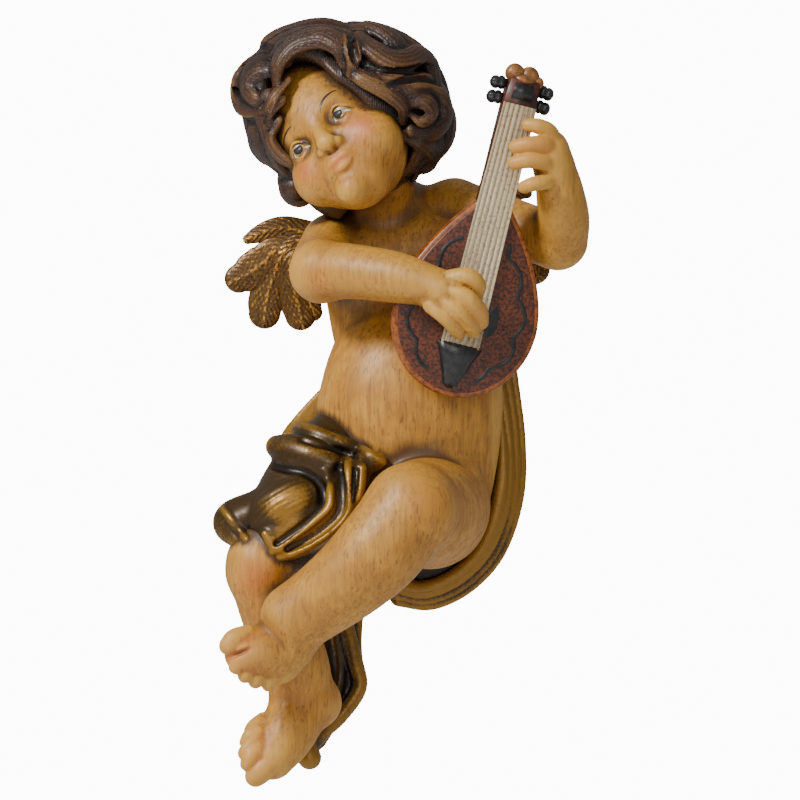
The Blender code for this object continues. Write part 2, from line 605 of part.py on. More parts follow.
def make_body():
    """The mandolin's body: the teardrop carried back as a rim, then as the rounding bowl."""
    mesh = bmesh.new()
    bowl = BODY_DEPTH - BODY_RIM
    levels = [(0, 1), (BODY_RIM, 1)]
    for angle in BOWL_ANGLES:
        levels.append((BODY_RIM + bowl * math.sin(angle), math.cos(angle)))
    rings = []
    for depth, scale in levels:
        rings.append([mesh.verts.new((x * scale, -depth, z * scale)) for x, z in teardrop()])
    for near, far in zip(rings, rings[1:]):
        for i, vert in enumerate(near):
            mesh.faces.new((vert, near[i - 1], far[i - 1], far[i]))
    mesh.faces.new(rings[0])
    mesh.faces.new(reversed(rings[-1]))
    return put_in_scene(mesh, "mandolin")


def make_box(name, low, high):
    """A box between two corners."""
    low = Vector(low)
    high = Vector(high)
    mesh = bmesh.new()
    shape = Matrix.Translation((low + high) / 2) @ Matrix.Diagonal((*(high - low), 1))
    bmesh.ops.create_cube(mesh, size=1, matrix=shape)
    return hide_tool(put_in_scene(mesh, name))


def make_tailpiece(bottom, top):
    """A wedge that widens from its tip at the bottom up to the ends of the strings."""
    half = TAILPIECE_WIDTH / 2
    tip = half * TAILPIECE_TIP
    outline = [(-tip, bottom), (tip, bottom), (half, top), (-half, top)]
    mesh = bmesh.new()
    front = [mesh.verts.new((x, TAILPIECE_LIFT, z)) for x, z in outline]
    back = [mesh.verts.new((x, -PART_SINK, z)) for x, z in outline]
    mesh.faces.new(front)
    mesh.faces.new(reversed(back))
    for i in range(4):
        mesh.faces.new((front[i], front[i - 1], back[i - 1], back[i]))
    return hide_tool(put_in_scene(mesh, "tailpiece_tool"))


def make_peg(name, side, along):
    """A peg that stands out of the side of the headstock, with a round end."""
    mesh = bmesh.new()
    inner = HEADSTOCK_WIDTH / 2 - PART_SINK
    outer = HEADSTOCK_WIDTH / 2 + PEG_LENGTH - PEG_RADIUS
    middle = Vector((side * (inner + outer) / 2, -NECK_DEPTH / 2, along))
    turn = Matrix.Rotation(math.pi / 2, 4, "Y")
    bmesh.ops.create_cone(
        mesh, segments=PEG_SIDES, radius1=PEG_RADIUS * PEG_SHAFT, radius2=PEG_RADIUS * PEG_SHAFT,
        depth=outer - inner, cap_ends=True, matrix=Matrix.Translation(middle) @ turn)
    shaft = hide_tool(put_in_scene(mesh, name + "_shaft"))
    mesh = bmesh.new()
    end = Matrix.Translation((side * outer, -NECK_DEPTH / 2, along))
    bmesh.ops.create_icosphere(mesh, subdivisions=2, radius=PEG_RADIUS, matrix=end)
    knob = hide_tool(put_in_scene(mesh, name + "_knob"))
    return [shaft, knob]


def make_mandolin():
    """Body, neck, fingerboard, headstock, pegs, finial and tailpiece, made one."""
    bottom = -BODY_BELOW * BODY_LENGTH
    body_top = bottom + BODY_LENGTH
    nut = body_top + NECK_LENGTH
    head_top = nut + HEADSTOCK_LENGTH
    tail_low = bottom + TAILPIECE_FROM_EDGE
    tail_top = tail_low + TAILPIECE_LENGTH
    neck_half = NECK_WIDTH / 2
    board_half = FINGERBOARD_WIDTH / 2
    board_low = tail_top - PART_SINK
    head_half = HEADSTOCK_WIDTH / 2
    body = make_body()
    tools = [
        make_box("neck_tool", (-neck_half, -NECK_DEPTH, body_top - NECK_HEEL), (neck_half, 0, nut)),
        make_box("board_tool", (-board_half, -PART_SINK, board_low), (board_half, FINGERBOARD_LIFT, nut)),
        make_box("head_tool", (-head_half, -NECK_DEPTH, nut - PART_SINK), (head_half, 0, head_top)),
        make_tailpiece(tail_low, tail_top),
    ]
    mesh = bmesh.new()
    middle = Matrix.Translation((0, -NECK_DEPTH / 2, head_top + FINIAL_RADIUS / 4))
    bmesh.ops.create_icosphere(mesh, subdivisions=2, radius=FINIAL_RADIUS, matrix=middle)
    tools.append(hide_tool(put_in_scene(mesh, "finial_tool")))
    for side in (-1, 1):
        for row, share in enumerate(PEG_PLACES):
            tools += make_peg(f"peg_{side}_{row}", side, nut + share * HEADSTOCK_LENGTH)
    for tool in tools:
        add_modifier(body, "BOOLEAN", operation="UNION", solver="EXACT", object=tool)
    apply_modifiers(body)
    for tool in tools:
        bpy.data.objects.remove(tool)
    body.data.transform(mandolin_frame())
    return body


def make_wing(name, left):
    """Feathers that spread from the root, made one. The left wing mirrors the right one."""
    widest = max(row[2] for rows in FEATHERS for row in rows)
    squeeze = WING_THICKNESS / (2 * widest * WING_SPAN)
    mesh = bmesh.new()
    for rows in FEATHERS:
        rows = smooth_rows(rows)
        centres = []
        for across, up, _ in rows:
            spot = place(*WING_ROOT) + Vector((across, 0, up)) * WING_SPAN
            if left:
                spot = mirror_spot(spot)
            centres.append(spot)
        add_limb(mesh, centres, [row[2] * WING_SPAN for row in rows], squeeze)
    wing = put_in_scene(mesh, name)
    fuse(wing, WING_GRAIN, WING_FACES, 2)
    return wing


def mirror_spot(spot):
    """The spot mirrored about the figure's middle and turned by the slope of its shoulders."""
    middle = place(FIGURE_MIDDLE, 0, 0)
    offset = spot - middle
    offset.x = -offset.x
    offset.rotate(Matrix.Rotation(-SHOULDER_SLOPE, 3, "Y"))
    return middle + offset + Vector((LEFT_WING_SHIFT, 0, 0)) * CARVING_UNIT


def make_figure(neighbours):
    """The carved figure, cut flat where it meets the wall and cleared round its neighbours."""
    mesh = bmesh.new()
    add_body(mesh)
    add_head(mesh)
    add_hair(mesh)
    add_cloth(mesh)
    figure = put_in_scene(mesh, "putto_figure")
    fuse(figure, FIGURE_GRAIN, FIGURE_FACES, 3)
    cut(figure, make_wall())
    for neighbour in neighbours:
        cut(figure, make_cutter(neighbour, neighbour.name + "_cutter", PIECE_GAP))
    return figure


start_clean()
mandolin = make_mandolin()
wings = [make_wing("right_wing", False), make_wing("left_wing", True)]
figure = make_figure([mandolin, *wings])
finish(figure, FLESH_PAINT, roughness=0.45, metallic=0)
finish(mandolin, BOARD_PAINT, roughness=0.4, metallic=0)
for wing in wings:
    finish(wing, WING_GILDING, roughness=0.4, metallic=0.7)
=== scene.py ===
# %% [markdown]
# # A carved cherub that plays a mandolin
#
# The real object is a small wall figure: limewood or beech carved in the round, painted, glazed
# with thin brown, and gilded on the drapery and the wings. Nothing on it is a box or a turned
# cylinder. Its forms grow out of each other, so most of this lesson is about carving with numpy:
# we fill a block of air with distances, take the surface where the distance is zero, and paint it.
# The mandolin and the wings are simpler, and there a surface is a function of two parameters.

import math

import bmesh
import bpy
import numpy as np
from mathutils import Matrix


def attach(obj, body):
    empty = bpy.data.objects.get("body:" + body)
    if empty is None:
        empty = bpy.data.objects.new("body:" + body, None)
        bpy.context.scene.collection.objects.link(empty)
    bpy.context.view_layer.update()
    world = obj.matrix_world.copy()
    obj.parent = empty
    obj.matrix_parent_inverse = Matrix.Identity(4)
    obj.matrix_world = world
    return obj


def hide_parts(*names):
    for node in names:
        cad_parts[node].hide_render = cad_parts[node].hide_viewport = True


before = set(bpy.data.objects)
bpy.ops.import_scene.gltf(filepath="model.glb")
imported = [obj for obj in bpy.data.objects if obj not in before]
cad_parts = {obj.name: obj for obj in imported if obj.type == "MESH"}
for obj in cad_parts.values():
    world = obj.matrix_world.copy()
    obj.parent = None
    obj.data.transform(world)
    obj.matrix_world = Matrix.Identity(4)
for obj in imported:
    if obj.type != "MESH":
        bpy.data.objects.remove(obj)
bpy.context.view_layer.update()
MM = 0.001

# %% [markdown]
# ## Where a form lies
#
# A carver measures from the back board: so far across, so far up, so far out from the wall. The
# rows below are written like that, in millimetres, with a radius at the end. The origin of the
# scene is the flat pad of the back, 10 mm below the line that the carver measures up from.
# Two more frames ride on this one: the tilted head, and the mandolin.

# %% Places on the figure, the head and the mandolin
PAD_HEIGHT = -10


def place(across, up, out, *rest):
    """A point of the carving as x, y, z in mm: x is across, y is minus out, z is up from the pad."""
    return (across, -out, up - PAD_HEIGHT, *rest)


def unit(vector):
    """The vector divided by its own length."""
    vector = np.asarray(vector, float)
    return vector / np.linalg.norm(vector)


def triple(first, second):
    """Three square directions: the second kept, the first squared to it, and their cross product."""
    second = unit(second)
    first = unit(first - (np.asarray(first) @ second) * second)
    return np.array([first, second, np.cross(first, second)])


HEAD_CENTRE = np.array(place(-15.2, 27.8, 28))
HEAD_AXES = triple(np.array([0.77, -0.21, 0.60]), np.array([-0.40, -0.89, 0.21]))
HEAD_AXES[2] *= np.sign(HEAD_AXES[2][2])
MANDOLIN_CENTRE = np.array(place(16.5, -17, 42.5))
MANDOLIN_AXES = triple(np.array([0.22, -0.97, 0.0]), np.array([0.2425, -0.05, 0.970]))[[2, 0, 1]]
MANDOLIN_AXES[0] *= np.sign(MANDOLIN_AXES[0][0])


def on_head(left, forward, up, *rest):
    """A point of the head as x, y, z: its centre plus so much of its left, forward and up directions."""
    return (*(HEAD_CENTRE + np.array([left, forward, up]) @ HEAD_AXES), *rest)


print("head looks", np.round(HEAD_AXES[1], 2), "mandolin faces", np.round(MANDOLIN_AXES[1], 2))

# %% [markdown]
# ## The block to carve
#
# How could fingers that grow out of a palm be made from grids? Not well: a grid of two parameters
# has four edges, and every place where a form grows out of another would leave an open join. Sculpt
# tools would do it by hand, and metaballs are too soft. So this piece is made another way: a block
# of cells, each holding the distance to the nearest form. Adding a form is a smooth minimum, cutting
# one is a smooth maximum, and both run on whole arrays. A block can also keep a comb: how far each
# cell lies to the side of its lock, which later draws fine painted hairs along every lock.

# %% A block of distances
AIR = 50.0


def smooth_min(a, b, width):
    """The smaller of two distances, blended where they differ by less than the width."""
    if width <= 0:
        return np.minimum(a, b)
    share = np.clip(0.5 + 0.5 * (b - a) / width, 0, 1)
    return b + (a - b) * share - width * share * (1 - share)


class Block:
    """Cells of equal size between two corners, each with its distance to the carved surface.

    A block that keeps a comb also notes how far each cell lies to the side of its nearest limb."""

    def __init__(self, low, high, cell):
        self.low = np.array(low, float)
        self.cell = cell
        counts = np.ceil((np.array(high) - self.low) / cell).astype(int) + 1
        self.axes = [(self.low[i] + cell * np.arange(counts[i])).astype(np.float32) for i in range(3)]
        self.field = np.full(counts, AIR, np.float32)
        self.comb = None

    def change(self, low, high, distance, width, take=False):
        """Adds or takes a form given by its distance function, only in the cells near it."""
        pad = width + 2 * self.cell
        window = []
        for i in range(3):
            most = self.field.shape[i]
            start = int(np.clip(np.floor((low[i] - pad - self.low[i]) / self.cell), 0, most))
            stop = int(np.clip(np.ceil((high[i] + pad - self.low[i]) / self.cell) + 1, 0, most))
            if stop <= start:
                return
            window.append(slice(start, stop))
        window = tuple(window)
        x = self.axes[0][window[0]][:, None, None]
        y = self.axes[1][window[1]][None, :, None]
        z = self.axes[2][window[2]][None, None, :]
        made, beside = distance(x, y, z)
        made = made.astype(np.float32)
        if self.comb is not None and not take:
            self.comb[window] = np.where(made < self.field[window], beside, self.comb[window])
        if take:
            self.field[window] = -smooth_min(-self.field[window], made, width)
        else:
            self.field[window] = smooth_min(self.field[window], made, width)


trial = Block((0, 0, 0), (10, 10, 10), 0.5)
print("a block of 10 mm with cells of half a millimetre has", trial.field.size, "cells")

# %% [markdown]
# ## Two gouges
#
# Two forms carve the whole figure. A **ball** is an ellipsoid, for cheeks, knees and palms. A
# **limb** is a ball of changing radius swept along a smooth path, for arms, toes, locks and folds.
# A limb can be pressed flat along a direction, and it can carry combed grooves along its path.

# %% Balls and limbs
def smooth_path(rows, steps):
    """A Catmull-Rom curve through rows of numbers: each stretch blends its four neighbours by cubics."""
    rows = np.asarray(rows, float)
    padded = np.vstack([2 * rows[0] - rows[1], rows, 2 * rows[-1] - rows[-2]])
    t = np.linspace(0, 1, steps, endpoint=False)[None, :, None]
    a, b, c, d = (padded[i:len(padded) - 3 + i, None] for i in range(4))
    curve = b + 0.5 * (
        (c - a) * t + (2 * a - 5 * b + 4 * c - d) * t ** 2 + (3 * b - a - 3 * c + d) * t ** 3)
    return np.vstack([curve.reshape(-1, rows.shape[1]), rows[-1:]])


def add_ball(block, centre, half_sizes, axes=None, width=1.0, take=False):
    """An ellipsoid: k is the length of the point over the half sizes, the distance k (k - 1) / slope."""
    centre = np.array(centre, float)
    sizes = np.array(half_sizes, float)
    axes = np.eye(3) if axes is None else axes
    reach = np.sqrt(((axes * sizes[:, None]) ** 2).sum(0))

    def distance(x, y, z):
        x, y, z = x - centre[0], y - centre[1], z - centre[2]
        along = [x * axis[0] + y * axis[1] + z * axis[2] for axis in axes]
        level = np.sqrt(sum((a / s) ** 2 for a, s in zip(along, sizes)))
        slope = np.sqrt(sum((a / s ** 2) ** 2 for a, s in zip(along, sizes)))
        return level * (level - 1) / np.maximum(slope, 1e-6), along[0]

    block.change(centre - reach, centre + reach, distance, width, take)


def add_limb(block, rows, width=1.0, steps=6, flat=1.0, faces=None, grooves=(0, 1), take=False):
    """The nearest of the cones between path points: distance to the cone's axis less its radius.

    `flat` presses it along `faces`, a direction, or the way from a centre. The second result is the
    offset to the side of the axis, for the comb."""
    path = smooth_path(rows, steps)
    centres, radii = path[:, :3], path[:, 3]
    largest = radii.max()

    def distance(x, y, z):
        best, aside = None, 0.0
        for start, end, r0, r1 in zip(centres[:-1], centres[1:], radii[:-1], radii[1:]):
            run = end - start
            length2 = float(run @ run)
            if length2 < 1e-9:
                continue
            px, py, pz = x - start[0], y - start[1], z - start[2]
            t = np.clip((px * run[0] + py * run[1] + pz * run[2]) / length2, 0, 1)
            px, py, pz = px - t * run[0], py - t * run[1], pz - t * run[2]
            radius = r0 + t * (r1 - r0)
            square = px * px + py * py + pz * pz
            offset = 0.0
            if faces is None:
                found = np.sqrt(square) - radius
            else:
                heading = run / math.sqrt(length2)
                normal = np.asarray(faces, float) if len(faces) == 3 else (start + end) / 2 - faces[0]
                normal = unit(normal - (normal @ heading) * heading)
                beside = np.cross(heading, normal)
                rise = px * normal[0] + py * normal[1] + pz * normal[2]
                found = np.sqrt(square + (1 / flat ** 2 - 1) * rise * rise) - radius
                offset = px * beside[0] + py * beside[1] + pz * beside[2]
                depth, count = grooves
                if depth:
                    side = offset / np.maximum(radius, 0.2)
                    comb = 0.5 + 0.5 * np.cos(side * math.pi * count)
                    found = found + depth * comb * radius / largest
            if best is None:
                best, aside = found, offset + 0 * found
            else:
                aside = np.where(found < best, offset, aside)
                best = np.minimum(best, found)
        return best, aside

    block.change(centres.min(0) - largest, centres.max(0) + largest, distance, width, take)


add_ball(trial, (5, 5, 5), (3, 3, 3), width=0)
add_limb(trial, [(1, 5, 5, 1), (5, 5, 5, 1), (9, 5, 5, 1)])
print("a ball on a limb fills", int((trial.field < 0).sum()), "of them")

# %% [markdown]
# ## From the block to a mesh
#
# The surface is where the distance is zero. Surface nets find it: each cell that the surface
# crosses gets one vertex, at the mean of the crossings on its edges, and each crossed edge joins
# the four cells round it in a quad. Everything is index arithmetic on whole arrays. A blurred copy
# of the block says how hollow each place is, and that becomes an attribute for the glaze.

# %% Surface nets and the hollows
def surface_nets(block):
    """Vertices at the mean crossing of each crossed cell, and a quad for each crossed edge."""
    field = np.pad(block.field, 1, constant_values=AIR)
    inside = field < 0
    nx, ny, nz = field.shape
    count = np.zeros((nx - 1, ny - 1, nz - 1), np.int8)
    corners = [(i, j, k) for i in (0, 1) for j in (0, 1) for k in (0, 1)]
    for i, j, k in corners:
        count += inside[i:nx - 1 + i, j:ny - 1 + j, k:nz - 1 + k]
    cells = np.argwhere((count > 0) & (count < 8))
    number = np.full(count.shape, -1, np.int32)
    number[tuple(cells.T)] = np.arange(len(cells))
    total = np.zeros((len(cells), 3))
    hits = np.zeros(len(cells))
    ci, cj, ck = cells.T
    for corner in corners:
        for axis in range(3):
            if corner[axis]:
                continue
            other = list(corner)
            other[axis] = 1
            near = field[ci + corner[0], cj + corner[1], ck + corner[2]]
            far = field[ci + other[0], cj + other[1], ck + other[2]]
            crossed = (near < 0) != (far < 0)
            share = np.where(crossed, near / np.where(near == far, 1, near - far), 0)
            point = np.array(corner) + share[:, None] * (np.array(other) - np.array(corner))
            total += np.where(crossed[:, None], point, 0)
            hits += crossed
    points = block.low + block.cell * (cells - 1 + total / hits[:, None])
    quads = []
    for axis in range(3):
        first, second = [k for k in range(3) if k != axis]
        lower = [slice(None)] * 3
        upper = [slice(None)] * 3
        lower[axis] = slice(0, -1)
        upper[axis] = slice(1, None)
        here, there = inside[tuple(lower)], inside[tuple(upper)]
        edges = np.argwhere(here != there)
        turned = here[tuple(edges.T)] ^ (axis == 1)
        ring = []
        for back1, back2 in ((1, 1), (0, 1), (0, 0), (1, 0)):
            cell = edges.copy()
            cell[:, first] -= back1
            cell[:, second] -= back2
            ring.append(number[tuple(cell.T)])
        quad = np.stack(ring, 1)
        quad[~turned] = quad[~turned][:, ::-1]
        quads.append(quad)
    return points, np.vstack(quads)


def blur(field, reach, times=2):
    """The mean over a box of 2 reach + 1 cells along each axis, from running sums, done a few times."""
    for _ in range(times):
        for axis in range(3):
            pads = [(0, 0)] * 3
            pads[axis] = (reach + 1, reach)
            sums = np.cumsum(np.pad(field, pads, mode="edge"), axis=axis, dtype=np.float64)
            ahead = [slice(None)] * 3
            behind = [slice(None)] * 3
            ahead[axis] = slice(2 * reach + 1, None)
            behind[axis] = slice(0, -(2 * reach + 1))
            field = ((sums[tuple(ahead)] - sums[tuple(behind)]) / (2 * reach + 1)).astype(np.float32)
    return field


def sample(block, field, points):
    """The field between cells: the eight corners of each point's cell, weighed by nearness."""
    spot = (points - block.low) / block.cell
    base = np.clip(np.floor(spot).astype(int), 0, np.array(field.shape) - 2)
    part = spot - base
    value = np.zeros(len(points))
    for i in (0, 1):
        for j in (0, 1):
            for k in (0, 1):
                share = np.abs(1 - np.array([i, j, k]) - part)
                weight = share[:, 0] * share[:, 1] * share[:, 2]
                value += weight * field[base[:, 0] + i, base[:, 1] + j, base[:, 2] + k]
    return value


def sample_grid(block, other):
    """One block's distances at every cell of another block."""
    cells = np.stack(np.meshgrid(*other.axes, indexing="ij"), -1)
    return sample(block, block.field, cells.reshape(-1, 3)).reshape(cells.shape[:3])


def hollow_of(block, points, reach_mm):
    """Minus the blurred distance at the points, over the reach: creases are above 0, ridges below."""
    reach = max(1, int(round(reach_mm / block.cell)))
    return -sample(block, blur(block.field, reach), points) / reach_mm


trial_points, trial_quads = surface_nets(trial)
print("its surface has", len(trial_points), "points and", len(trial_quads), "quads")

# %% [markdown]
# ## From arrays to a Blender object
#
# Every piece goes through the same two doors. `make_piece` puts arrays into a mesh with
# `foreach_set`, adds its float attributes and rides it on the frame. `thin_out` lets Blender's
# Decimate spend the triangles where the carving bends.

# %% Making pieces
def make_piece(name, points, faces, slot_name, node, material, attributes=()):
    """A mesh from points in millimetres and rows of corner numbers, with its place on the frame."""
    mesh = bpy.data.meshes.new(name)
    faces = np.asarray(faces, np.int32)
    mesh.vertices.add(len(points))
    mesh.vertices.foreach_set("co", (np.asarray(points) * MM).astype(np.float32).ravel())
    mesh.loops.add(faces.size)
    mesh.loops.foreach_set("vertex_index", faces.ravel())
    mesh.polygons.add(len(faces))
    mesh.polygons.foreach_set("loop_start", np.arange(len(faces), dtype=np.int32) * faces.shape[1])
    mesh.polygons.foreach_set("use_smooth", np.ones(len(faces), bool))
    mesh.update(calc_edges=True)
    mesh.validate()
    for key, values in dict(attributes).items():
        layer = mesh.attributes.new(key, "FLOAT", "POINT")
        layer.data.foreach_set("value", np.asarray(values, np.float32))
    mesh.materials.append(material)
    piece = bpy.data.objects.new(name, mesh)
    bpy.context.scene.collection.objects.link(piece)
    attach(piece, "root")
    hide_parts(node)
    return piece


def apply_modifiers(piece):
    """Keeps what the modifiers make of the mesh, and clears them."""
    bpy.context.view_layer.update()
    seen = piece.evaluated_get(bpy.context.evaluated_depsgraph_get())
    mesh = bpy.data.meshes.new_from_object(seen)
    piece.modifiers.clear()
    piece.data = mesh


def thin_out(piece, triangles):
    """Rounds off the cell steps and collapses edges down to about the given number of triangles."""
    rounding = piece.modifiers.new("rounding", "SMOOTH")
    rounding.factor = 0.5
    rounding.iterations = 2
    before = 2 * len(piece.data.polygons)
    if before > triangles:
        fewer = piece.modifiers.new("fewer", "DECIMATE")
        fewer.ratio = triangles / before
    apply_modifiers(piece)
    piece.data.shade_smooth()
    print(piece.name, "triangles", before, "->", len(piece.data.polygons))


# %% [markdown]
# ## Paints
#
# The finish is what makes the object: flesh paint over pale wood whose grain and short dark flecks
# still show, a brown glaze left in the hollows, and high points lighter, where the glaze was rubbed
# off and a highlight is painted. Each paint is a node group of a few noises on Object coordinates
# plus the hollow attribute of its piece.

# %% A small helper for node materials
class Paint:
    """A Principled material and short ways to add the nodes in front of it."""

    def __init__(self, name, **sockets):
        self.material = bpy.data.materials.new(name)
        self.material.use_nodes = True
        self.tree = self.material.node_tree
        self.shader = self.tree.nodes["Principled BSDF"]
        for key, value in sockets.items():
            self.shader.inputs[key.replace("_", " ")].default_value = value
        self.place = self.node("ShaderNodeTexCoord").outputs["Object"]

    def node(self, kind, **settings):
        made = self.tree.nodes.new(kind)
        for key, value in settings.items():
            setattr(made, key, value)
        return made

    def link(self, source, target):
        self.tree.links.new(source, target)

    def attribute(self, name):
        return self.node("ShaderNodeAttribute", attribute_name=name).outputs["Fac"]

    def noise(self, scale, detail=3.0, rough=0.55, stretch=(1, 1, 1)):
        """Noise on Object coordinates, pulled out along an axis by a small stretch number there."""
        mapping = self.node("ShaderNodeMapping")
        mapping.inputs["Scale"].default_value = stretch
        self.link(self.place, mapping.inputs["Vector"])
        made = self.node("ShaderNodeTexNoise")
        made.inputs["Scale"].default_value = scale
        made.inputs["Detail"].default_value = detail
        made.inputs["Roughness"].default_value = rough
        self.link(mapping.outputs["Vector"], made.inputs["Vector"])
        return made.outputs["Fac"]

    def spread(self, value, low, high, start=0.0, end=1.0):
        """The value carried smoothly from the range low..high to start..end."""
        made = self.node("ShaderNodeMapRange", interpolation_type="SMOOTHSTEP")
        self.link(value, made.inputs["Value"])
        for key, number in zip(("From Min", "From Max", "To Min", "To Max"), (low, high, start, end)):
            made.inputs[key].default_value = number
        return made.outputs["Result"]

    def math(self, operation, first, second=0.0):
        made = self.node("ShaderNodeMath", operation=operation)
        for i, value in enumerate((first, second)):
            if isinstance(value, (int, float)):
                made.inputs[i].default_value = value
            else:
                self.link(value, made.inputs[i])
        return made.outputs[0]

    def mix(self, share, first, second):
        """Colour between two colours or sockets, by the share."""
        made = self.node("ShaderNodeMix", data_type="RGBA")
        self.link(share, made.inputs["Factor"])
        for key, value in (("A", first), ("B", second)):
            socket = [s for s in made.inputs if s.name == key and s.type == "RGBA"][0]
            if isinstance(value, tuple):
                socket.default_value = (*value, 1)
            else:
                self.link(value, socket)
        return [s for s in made.outputs if s.type == "RGBA"][0]

    def finish(self, colour=None, roughness=None, bump=None, height=0.1):
        """Joins colour, roughness and bump height in millimetres to the shader."""
        if colour is not None:
            self.link(colour, self.shader.inputs["Base Color"])
        if roughness is not None:
            self.link(roughness, self.shader.inputs["Roughness"])
        if bump is not None:
            made = self.node("ShaderNodeBump")
            made.inputs["Distance"].default_value = height * MM
            self.link(bump, made.inputs["Height"])
            self.link(made.outputs["Normal"], self.shader.inputs["Normal"])
        return self.material


# %% [markdown]
# ### Flesh paint
#
# Thin ochre paint over fine-grained wood. The grain runs up the figure, with short dark flecks
# about two and a half millimetres long. Blush sits on cheeks, lips, knees, fingers and toes, the
# brown glaze stays in every hollow, and the high points are lighter: glaze rubbed off, and a painted
# highlight. A second brown, the attribute shade, is brushed beside the hair and the cloth: a brown
# at the hairline and painted shade where the flesh meets hair and cloth. An image could hold all
# this, but noises need no unwrapping of a carving.

# %% Flesh paint
def flesh_paint():
    paint = Paint("flesh_paint", Roughness=0.5, Coat_Weight=0.08, Coat_Roughness=0.35)
    patches = paint.noise(90, 3)
    grain = paint.noise(900, 4, 0.7, (1, 1, 0.06))
    flecks = paint.spread(paint.noise(1500, 1, 0.5, (1, 1, 0.22)), 0.62, 0.70)
    colour = paint.mix(paint.spread(patches, 0.35, 0.65), (0.47, 0.195, 0.019), (0.63, 0.300, 0.036))
    colour = paint.mix(paint.spread(grain, 0.35, 0.70, 0, 0.6), colour, (0.25, 0.095, 0.012))
    colour = paint.mix(paint.math("MULTIPLY", flecks, 0.55), colour, (0.15, 0.055, 0.010))
    blush = paint.spread(paint.attribute("blush"), 0.0, 1.0, 0, 0.75)
    colour = paint.mix(blush, colour, (0.60, 0.125, 0.026))
    glaze_and_highlight = paint.math("ADD", paint.attribute("hollow"), paint.spread(patches, 0.3, 0.7, -0.06, 0.06))
    colour = paint.mix(paint.spread(glaze_and_highlight, -0.02, 0.26, 0, 0.92), colour, (0.060, 0.024, 0.005))
    # painted highlight with rubbed glaze: the high points of the flesh lighter and paler
    colour = paint.mix(paint.spread(glaze_and_highlight, -0.30, -0.08, 0.45, 0), colour, (0.82, 0.47, 0.085))
    # painted shade with the hairline brown: darker on the flesh beside the hair and the cloth
    shade = paint.math("ADD", paint.attribute("shade"), paint.spread(grain, 0.3, 0.7, -0.12, 0.12))
    colour = paint.mix(paint.spread(shade, 0.1, 0.95, 0, 0.94), colour, (0.040, 0.017, 0.006))
    rough = paint.spread(grain, 0.3, 0.8, 0.46, 0.62)
    return paint.finish(colour, rough, grain, 0.05)


FLESH = flesh_paint()

# %% [markdown]
# ### Hair paint
#
# Dark brown in the cuts, and a nearly dry brush of rust and a little gold dragged over the ridges
# of the locks. The ridge comes from the same attribute, below zero. The fine lines are a sine of
# the comb, so they run along each lock however it curls, where a wood texture would cut across.

# %% Hair paint
def hair_paint():
    paint = Paint("hair_paint", Roughness=0.42, Coat_Weight=0.2, Coat_Roughness=0.3)
    patches = paint.noise(120, 3)
    fine = paint.noise(1800, 3)
    wander = paint.math("MULTIPLY", paint.noise(400, 2), 5.0)
    comb = paint.math("MULTIPLY", paint.attribute("comb"), 14.0)
    lines = paint.spread(paint.math("SINE", paint.math("ADD", comb, wander)), -1.0, 1.0)
    hollow = paint.math("ADD", paint.attribute("hollow"), paint.spread(fine, 0.3, 0.7, -0.04, 0.04))
    ridge = paint.math("ADD", hollow, paint.math("MULTIPLY", lines, -0.07))
    colour = paint.mix(paint.spread(patches, 0.3, 0.7), (0.017, 0.0075, 0.0045), (0.046, 0.017, 0.006))
    colour = paint.mix(paint.spread(hollow, -0.02, 0.14, 0, 0.92), colour, (0.005, 0.0025, 0.002))
    colour = paint.mix(paint.spread(ridge, -0.40, -0.14, 0.7, 0), colour, (0.095, 0.034, 0.008))
    colour = paint.mix(paint.spread(ridge, -0.60, -0.36, 0.5, 0), colour, (0.28, 0.13, 0.028))
    bump = paint.math("ADD", lines, paint.math("MULTIPLY", fine, 0.5))
    return paint.finish(colour, None, bump, 0.09)


HAIR = hair_paint()

# %% [markdown]
# ### Old gold and bronze gold
#
# The drapery is leaf gold toned down with dark glaze, brightest on the fold ridges, where the glaze
# was rubbed off and the metal's reflection is painted on as a highlight. The wings are a paler bronze
# gold, speckled where the leaf broke over the cuts.

# %% Gold
def gold_paint(name, base, bright, dark, rub_and_highlight, speckle, metal):
    """A painted highlight with rubbed glaze where the hollow is below -0.3 rub width, dark above 0.22,
    after the speckle shakes it.
    """
    paint = Paint(name, Roughness=0.38, Metallic=metal, Coat_Weight=0.15, Coat_Roughness=0.25)
    patches = paint.noise(110, 4)
    fine = paint.noise(1300, 4, 0.7)
    hollow = paint.math("ADD", paint.attribute("hollow"), paint.spread(fine, 0.3, 0.7, -speckle, speckle))
    hollow = paint.math("ADD", hollow, paint.spread(patches, 0.3, 0.7, -0.05, 0.05))
    # painted highlight on the ridges, with the glaze rubbed off there: the gold goes bright
    colour = paint.mix(paint.spread(hollow, -rub_and_highlight, -0.3 * rub_and_highlight, 1, 0), base, bright)
    colour = paint.mix(paint.spread(hollow, 0.0, 0.22, 0, 0.92), colour, dark)
    rough = paint.spread(fine, 0.3, 0.7, 0.28, 0.50)
    return paint.finish(colour, rough, fine, 0.06)


OLD_GOLD = gold_paint(
    "old_gold", (0.052, 0.025, 0.0025), (0.30, 0.145, 0.011), (0.010, 0.005, 0.0015), 0.50, 0.08, 0.4)
BRONZE_GOLD = gold_paint(
    "bronze_gold", (0.12, 0.052, 0.005), (0.56, 0.27, 0.035), (0.012, 0.006, 0.002), 0.26, 0.16, 0.45)
print("paints", [material.name for material in (FLESH, HAIR, OLD_GOLD, BRONZE_GOLD)])

# %% [markdown]
# ## Trunk, arms and legs
#
# The chubby body is a chain of swept balls: a trunk that is pressed toward the wall, then shoulders,
# arms, thighs and calves, blended by a couple of millimetres where they meet. The rows are the ones
# that the measured solids use, so the dressed figure lies where the solids lie.

